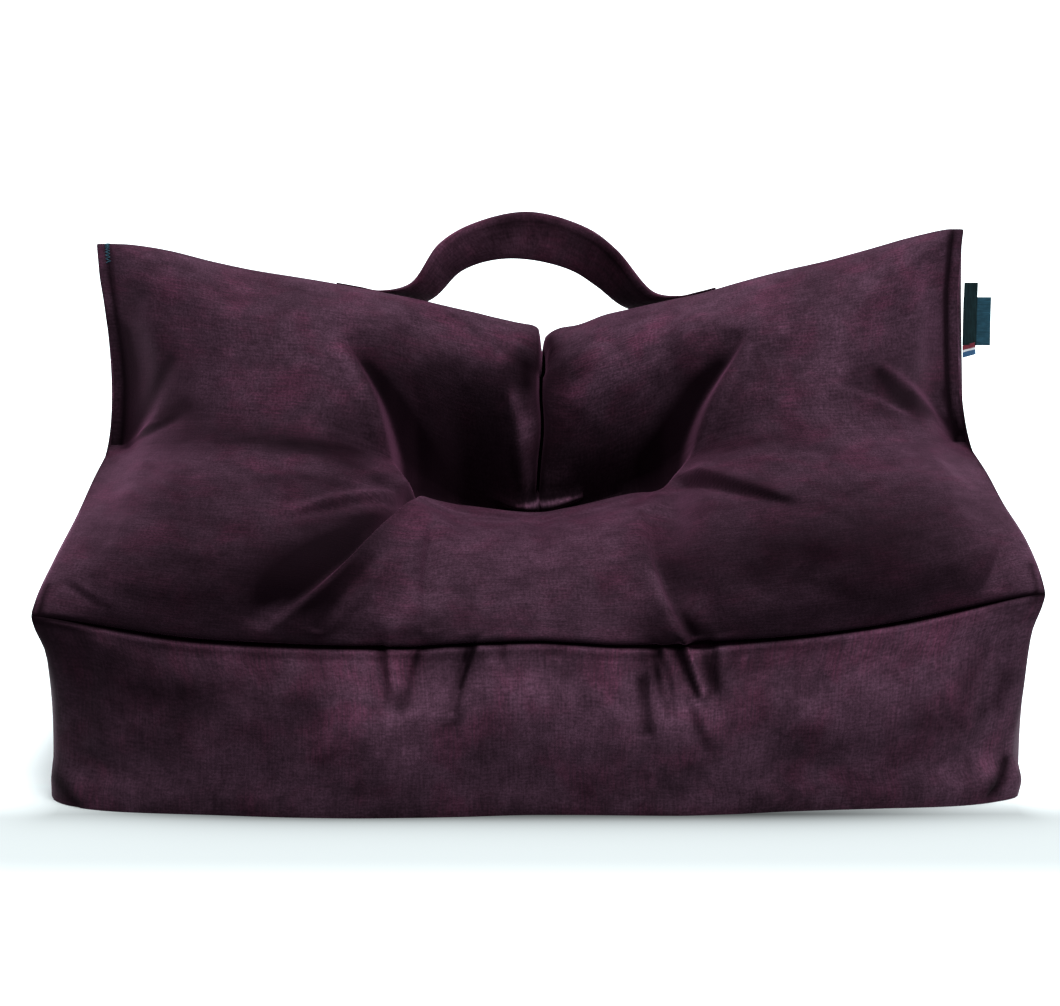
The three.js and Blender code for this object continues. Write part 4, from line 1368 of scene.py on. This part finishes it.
@dataclass
class FoldedTape:
    """A blank tape, folded over and sewn into the right fin's edge."""

    form: ClothForm
    name: str
    node: str
    slot: str
    finish: TapeFinish | RibbonFinish
    up: float
    to_up: float
    proud: float
    offset: float
    loop: float = 0.8
    rise: float = 0.0
    tilt: float = 0.0
    layer: float = 0.35
    gap: float = 0.4
    bow: float = 0.35
    sharp: float = 40.0
    section_steps: int = 9
    edge_steps: int = 2
    rows: int = 20

    def section(self) -> Grid:
        """The folded section: out along the front layer, round the fold and back, as places out and deep."""
        radius = self.loop / 2
        straight = np.linspace(0, self.proud - radius, self.section_steps)
        turns = np.linspace(-np.pi / 2, np.pi / 2, self.section_steps)[1:-1]
        front = np.stack([straight, np.full_like(straight, -radius)], -1)
        bend = np.stack([self.proud - radius + radius * np.cos(turns), radius * np.sin(turns)], -1)
        return np.concatenate([front, bend, front[::-1] * (1, -1)])

    def build(self) -> Piece:
        """Builds the tape as a thin folded sheet.

        Returns:
            The new object, at the origin.
        """
        section, share = self.section(), np.linspace(0, 1, self.rows + 1)[:, None]
        out = section[:, 0] + np.zeros_like(share)
        edge = self.form.fin_edge(1.0, self.up + (self.to_up - self.up) * share[:, 0])
        lean = edge[-1] - edge[0]
        tall = np.linalg.norm(lean)
        deep = np.cross(lean / tall, (1.0, 0.0, 0.0))
        depth = self.offset + section[:, 1] + self.bow * np.sin(np.pi * share) * out / self.proud
        points = edge[:, None] + deep * depth[..., None]
        points[..., 0] += self.gap + self.tilt * share + out
        points[..., 2] += self.rise * out / self.proud
        quads = grid_quads(np.arange(out.size).reshape(out.shape)).reshape(-1, 4)
        piece = piece_from(self.name, points, quads.tolist())
        up_map = share if isinstance(self.finish, RibbonFinish) else share * tall * MM
        set_grid_map(piece, run_of(section) * MM, up_map)
        solid = piece.modifiers.new("layer", "SOLIDIFY")
        solid.thickness = self.layer * MM
        solid.offset = 0
        rounded = piece.modifiers.new("edge", "BEVEL")
        rounded.width = self.layer * MM / 4
        rounded.segments = self.edge_steps
        apply_all(piece)
        piece.data.materials.append(self.finish.material())
        shade(piece, self.sharp)
        return piece

    def dress(self, piece: Piece) -> None:
        """Puts the tape in the frame."""
        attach(piece, BODY)
        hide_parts(self.node)


@dataclass(frozen=True)
class Thread:
    """A sewing thread that stitches are made of."""

    finish: ThreadFinish
    radius: float
    sides: int = 6
    blunt: float = 0.3

    def stitches(self, name: str, lines: Grid, outward: Grid) -> Piece:
        """Stitches as one object.

        Args:
            name: the object's name.
            lines: each stitch's points, in millimetres.
            outward: the direction away from the cloth at each point.

        Returns:
            The new object, at the origin.
        """
        count, steps = lines.shape[:2]
        along = np.gradient(lines, axis=1)
        along /= np.linalg.norm(along, axis=-1, keepdims=True)
        across = np.cross(along, outward)
        across /= np.linalg.norm(across, axis=-1, keepdims=True)
        upward = np.cross(across, along)
        turns = (np.arange(self.sides) / self.sides * 2 * np.pi)[:, None]
        ring = np.cos(turns) * across[:, :, None] + np.sin(turns) * upward[:, :, None]
        radii = self.radius * np.sin(np.linspace(self.blunt, np.pi - self.blunt, steps)) ** 0.5
        points = lines[:, :, None] + ring * radii[:, None, None]
        index = np.arange(count * steps * self.sides).reshape(count, steps, self.sides)
        following = np.roll(index, -1, axis=2)
        quads = np.stack([index[:, :-1], following[:, :-1], following[:, 1:], index[:, 1:]], -1)
        faces = [*quads.reshape(-1, 4).tolist(), *index[:, 0, ::-1].tolist(), *index[:, -1].tolist()]
        piece = piece_from(name, points, faces)
        shade(piece, ROUND_ANGLE)
        piece.data.materials.append(self.finish.material())
        return piece


@dataclass
class FinStitching:
    """The line of stitches that closes each fin, seen on its front and its back."""

    form: ClothForm
    thread: Thread
    name: str = "fin_stitches"
    stitch: float = 3.2
    pitch: float = 4.2
    first: float = 1.0
    lift: float = 0.12
    outside: float = 0.6
    levels: Pair = (2.06, 2.96)
    samples: int = 400
    points: int = 5

    def build(self) -> Piece:
        """Builds the stitches of both fins.

        Returns:
            The new object, at the origin.
        """
        front = np.linspace(*self.levels, self.samples)
        lines, outs = [], []
        for side in (-1.0, 1.0):
            for ups in (front, 2 * Level.RIDGE - front):
                across = np.full_like(ups, side * (self.form.half_width - self.form.fin_depth + self.outside))
                place, outward = self.form.surface(across, ups)
                run = run_of(place)
                starts = np.arange(self.first, run[-1] - self.pitch, self.pitch)
                at = starts[:, None] + np.linspace(0, self.stitch, self.points)
                outs.append(points_at(at, run, outward))
                lines.append(points_at(at, run, place) + outs[-1] * self.lift)
        return self.thread.stitches(self.name, np.concatenate(lines), np.concatenate(outs))

    def dress(self, piece: Piece) -> None:
        """Puts the stitches in the frame."""
        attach(piece, BODY)


@dataclass
class BarTack:
    """The close zigzag of bright thread that locks the top of the left fin's seam."""

    form: ClothForm
    thread: Thread
    name: str = "bar_tack"
    width: float = 3.4
    count: int = 15
    lift: float = 0.3
    arch: float = 0.25
    outside: float = 1.5
    levels: Pair = (2.75, 2.97)
    points: int = 5

    def build(self) -> Piece:
        """Builds the zigzag.

        Returns:
            The new object, at the origin.
        """
        turns = np.linspace(*self.levels, self.count + 1)
        share = np.linspace(0, 1, self.points)
        middle = -(self.form.half_width - self.form.fin_depth + self.outside)
        sway = np.where(np.arange(self.count) % 2 == 0, 1.0, -1.0)
        across = middle + sway[:, None] * self.width * (share - 0.5)
        ups = turns[:-1, None] + np.diff(turns)[:, None] * share
        place, outward = self.form.surface(across, ups)
        rise = self.lift + self.arch * np.sin(np.pi * share)[:, None]
        return self.thread.stitches(self.name, place + outward * rise, outward)

    def dress(self, piece: Piece) -> None:
        """Puts the bar tack in the frame."""
        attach(piece, BODY)


@dataclass(frozen=True)
class Photograph:
    """The photograph's frame and the camera that it was taken with."""

    width: int = 1060
    height: int = 1006
    elevation: float = 11.0
    distance: float = 2.4
    metres_per_pixel: float = 0.000624
    front_middle: Triple = (0.0, -0.18, 0.0)
    front_pixel: Pair = (538, 812)
    sensor: float = 36.0
    farthest: float = 200.0


@dataclass
class Studio:
    """The pale floor, the soft light and the camera at the photograph's angle."""

    photograph: Photograph
    floor_finish: FloorFinish
    floor_size: float = 60.0
    sky: float = 0.45
    sky_colour: Colour = (0.98, 0.99, 1.0)
    key: float = 5.6
    key_towards: Triple = (0.24, -0.3, 1.0)
    key_angle: float = 54.0
    gamma: float = 0.8

    def build_floor(self) -> None:
        """A wide floor under the cushion."""
        bpy.ops.object.select_all(action="DESELECT")
        bpy.ops.mesh.primitive_plane_add(size=self.floor_size)
        floor = bpy.context.object
        floor.name = "studio_floor"
        floor.data.materials.append(self.floor_finish.material())

    def build_light(self) -> None:
        """A pale sky and a wide soft key from above the front."""
        world = bpy.data.worlds.new("studio_sky")
        bpy.context.scene.world = world
        world.use_nodes = True
        background = world.node_tree.nodes["Background"]
        background.inputs["Color"].default_value = (*self.sky_colour, 1.0)
        background.inputs["Strength"].default_value = self.sky
        light = bpy.data.lights.new("key", "SUN")
        light.energy = self.key
        light.angle = math.radians(self.key_angle)
        lamp = bpy.data.objects.new("key", light)
        lamp.rotation_euler = Vector(self.key_towards).to_track_quat("Z", "Y").to_euler()
        bpy.context.scene.collection.objects.link(lamp)

    def build_camera(self) -> None:
        """The camera at the photograph's place."""
        shot = self.photograph
        tilt = math.radians(shot.elevation)
        forward = Vector((0, math.cos(tilt), -math.sin(tilt)))
        upward = Vector((0, math.sin(tilt), math.cos(tilt)))
        right = (shot.width / 2 - shot.front_pixel[0]) * shot.metres_per_pixel
        rise = (shot.front_pixel[1] - shot.height / 2) * shot.metres_per_pixel
        camera = bpy.data.cameras.new("photograph_camera")
        camera.sensor_width = shot.sensor
        camera.lens = shot.sensor * shot.distance / (shot.metres_per_pixel * shot.width)
        camera.clip_end = shot.farthest
        lens = bpy.data.objects.new("photograph_camera", camera)
        middle = Vector(shot.front_middle) + Vector((right, 0, 0)) + upward * rise
        lens.location = middle - forward * shot.distance
        lens.rotation_euler = (math.radians(90 - shot.elevation), 0, 0)
        bpy.context.scene.collection.objects.link(lens)
        bpy.context.scene.camera = lens

    def build(self) -> None:
        """Builds the whole studio."""
        self.build_floor()
        self.build_light()
        self.build_camera()
        bpy.context.scene.view_settings.view_transform = "Standard"
        bpy.context.scene.view_settings.gamma = self.gamma


TOP_VELVET = VelvetFinish(
    "velvet_top", Weave.ACROSS, (0.001, 0.0004, 0.0009), (0.05, 0.0272, 0.041), (1.2, 0.82, 0.96),
    sheen=0.4, sheen_tint=(0.42, 0.18, 0.31), sheen_roughness=0.45, streak=0.2, grain=0.27, nap=0.4)
# The wall is the top's velvet with its pile laid the other way; its lighter colours are painted light for how
# that pile catches the light.
WALL_VELVET = VelvetFinish(
    "velvet_wall", Weave.UP, (0.004, 0.0017, 0.0032), (0.14, 0.075, 0.113), (1.14, 0.86, 0.96),
    sheen=0.1, sheen_tint=(0.5, 0.25, 0.38))
# A near-black velvet without sheen: painted shade in the crease and the front seam.
PAINTED_SHADE_VELVET = VelvetFinish(
    "velvet_painted_shade", Weave.UP, (0.003, 0.001, 0.0022), (0.016, 0.0065, 0.012), (1.2, 0.82, 0.96),
    sheen=0.0, sheen_tint=(0.4, 0.2, 0.31), gloss=0.0)
STRAP_VELVET = VelvetFinish(
    "velvet_strap", Weave.ACROSS, (0.001, 0.0004, 0.0007), (0.06, 0.0285, 0.0445), (1.2, 0.82, 0.96),
    sheen=0.4, sheen_tint=(0.4, 0.19, 0.295), sheen_roughness=0.45)
PANELS = {Panel.TOP: TOP_VELVET, Panel.WALL: WALL_VELVET, Panel.FOLD: PAINTED_SHADE_VELVET}
BLACK_TAPE = TapeFinish("black_tape", (0.003, 0.01, 0.012), (0.008, 0.024, 0.028), (900, 90, 1), 0.7)
SATIN_TAPE = TapeFinish("satin_tape", (0.01, 0.034, 0.048), (0.022, 0.07, 0.1), (120, 900, 1), 0.5)
RIBBON = RibbonFinish("ribbon", ((0.02, 0.07, 0.14), (0.4, 0.42, 0.44), (0.12, 0.012, 0.025)), (0.42, 0.6))
SEAM_THREAD = Thread(ThreadFinish("seam_thread", (0.002, 0.001, 0.0016), (0.007, 0.0035, 0.0055), 0.0), 0.3)
TACK_THREAD = Thread(ThreadFinish("tack_thread", (0.006, 0.02, 0.035), (0.02, 0.07, 0.1), 0.3), 0.42)


def main() -> None:
    """Builds the cushion and its studio."""
    logging.basicConfig(level=logging.INFO, format="%(name)s: %(message)s")
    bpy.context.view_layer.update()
    form = ClothForm()
    parts = (
        CushionBody(form, PANELS, Grip(), ClothFill()),
        CarryStrap(form, STRAP_VELVET),
        FoldedTape(form, "edge_tab_tape", "edge_tab", "black_tape", BLACK_TAPE,
                   up=2.34, to_up=2.58, proud=9, offset=-0.9, tilt=1.6),
        FoldedTape(form, "care_tab_tape", "care_tab", "satin_tape", SATIN_TAPE,
                   up=2.34, to_up=2.52, proud=18.5, offset=0.9, tilt=1.2),
        FoldedTape(form, "ribbon_loop", "ribbon_tab", "ribbon", RIBBON,
                   up=2.296, to_up=2.338, proud=8.5, offset=0, loop=2.0, rise=2.4),
        FinStitching(form, SEAM_THREAD),
        BarTack(form, TACK_THREAD),
    )
    for part in parts:
        piece = part.build()
        part.dress(piece)
        LOG.info("%s: %d faces", piece.name, len(piece.data.polygons))
    Studio(Photograph(), FloorFinish()).build()


if __name__ == "__main__":
    main()
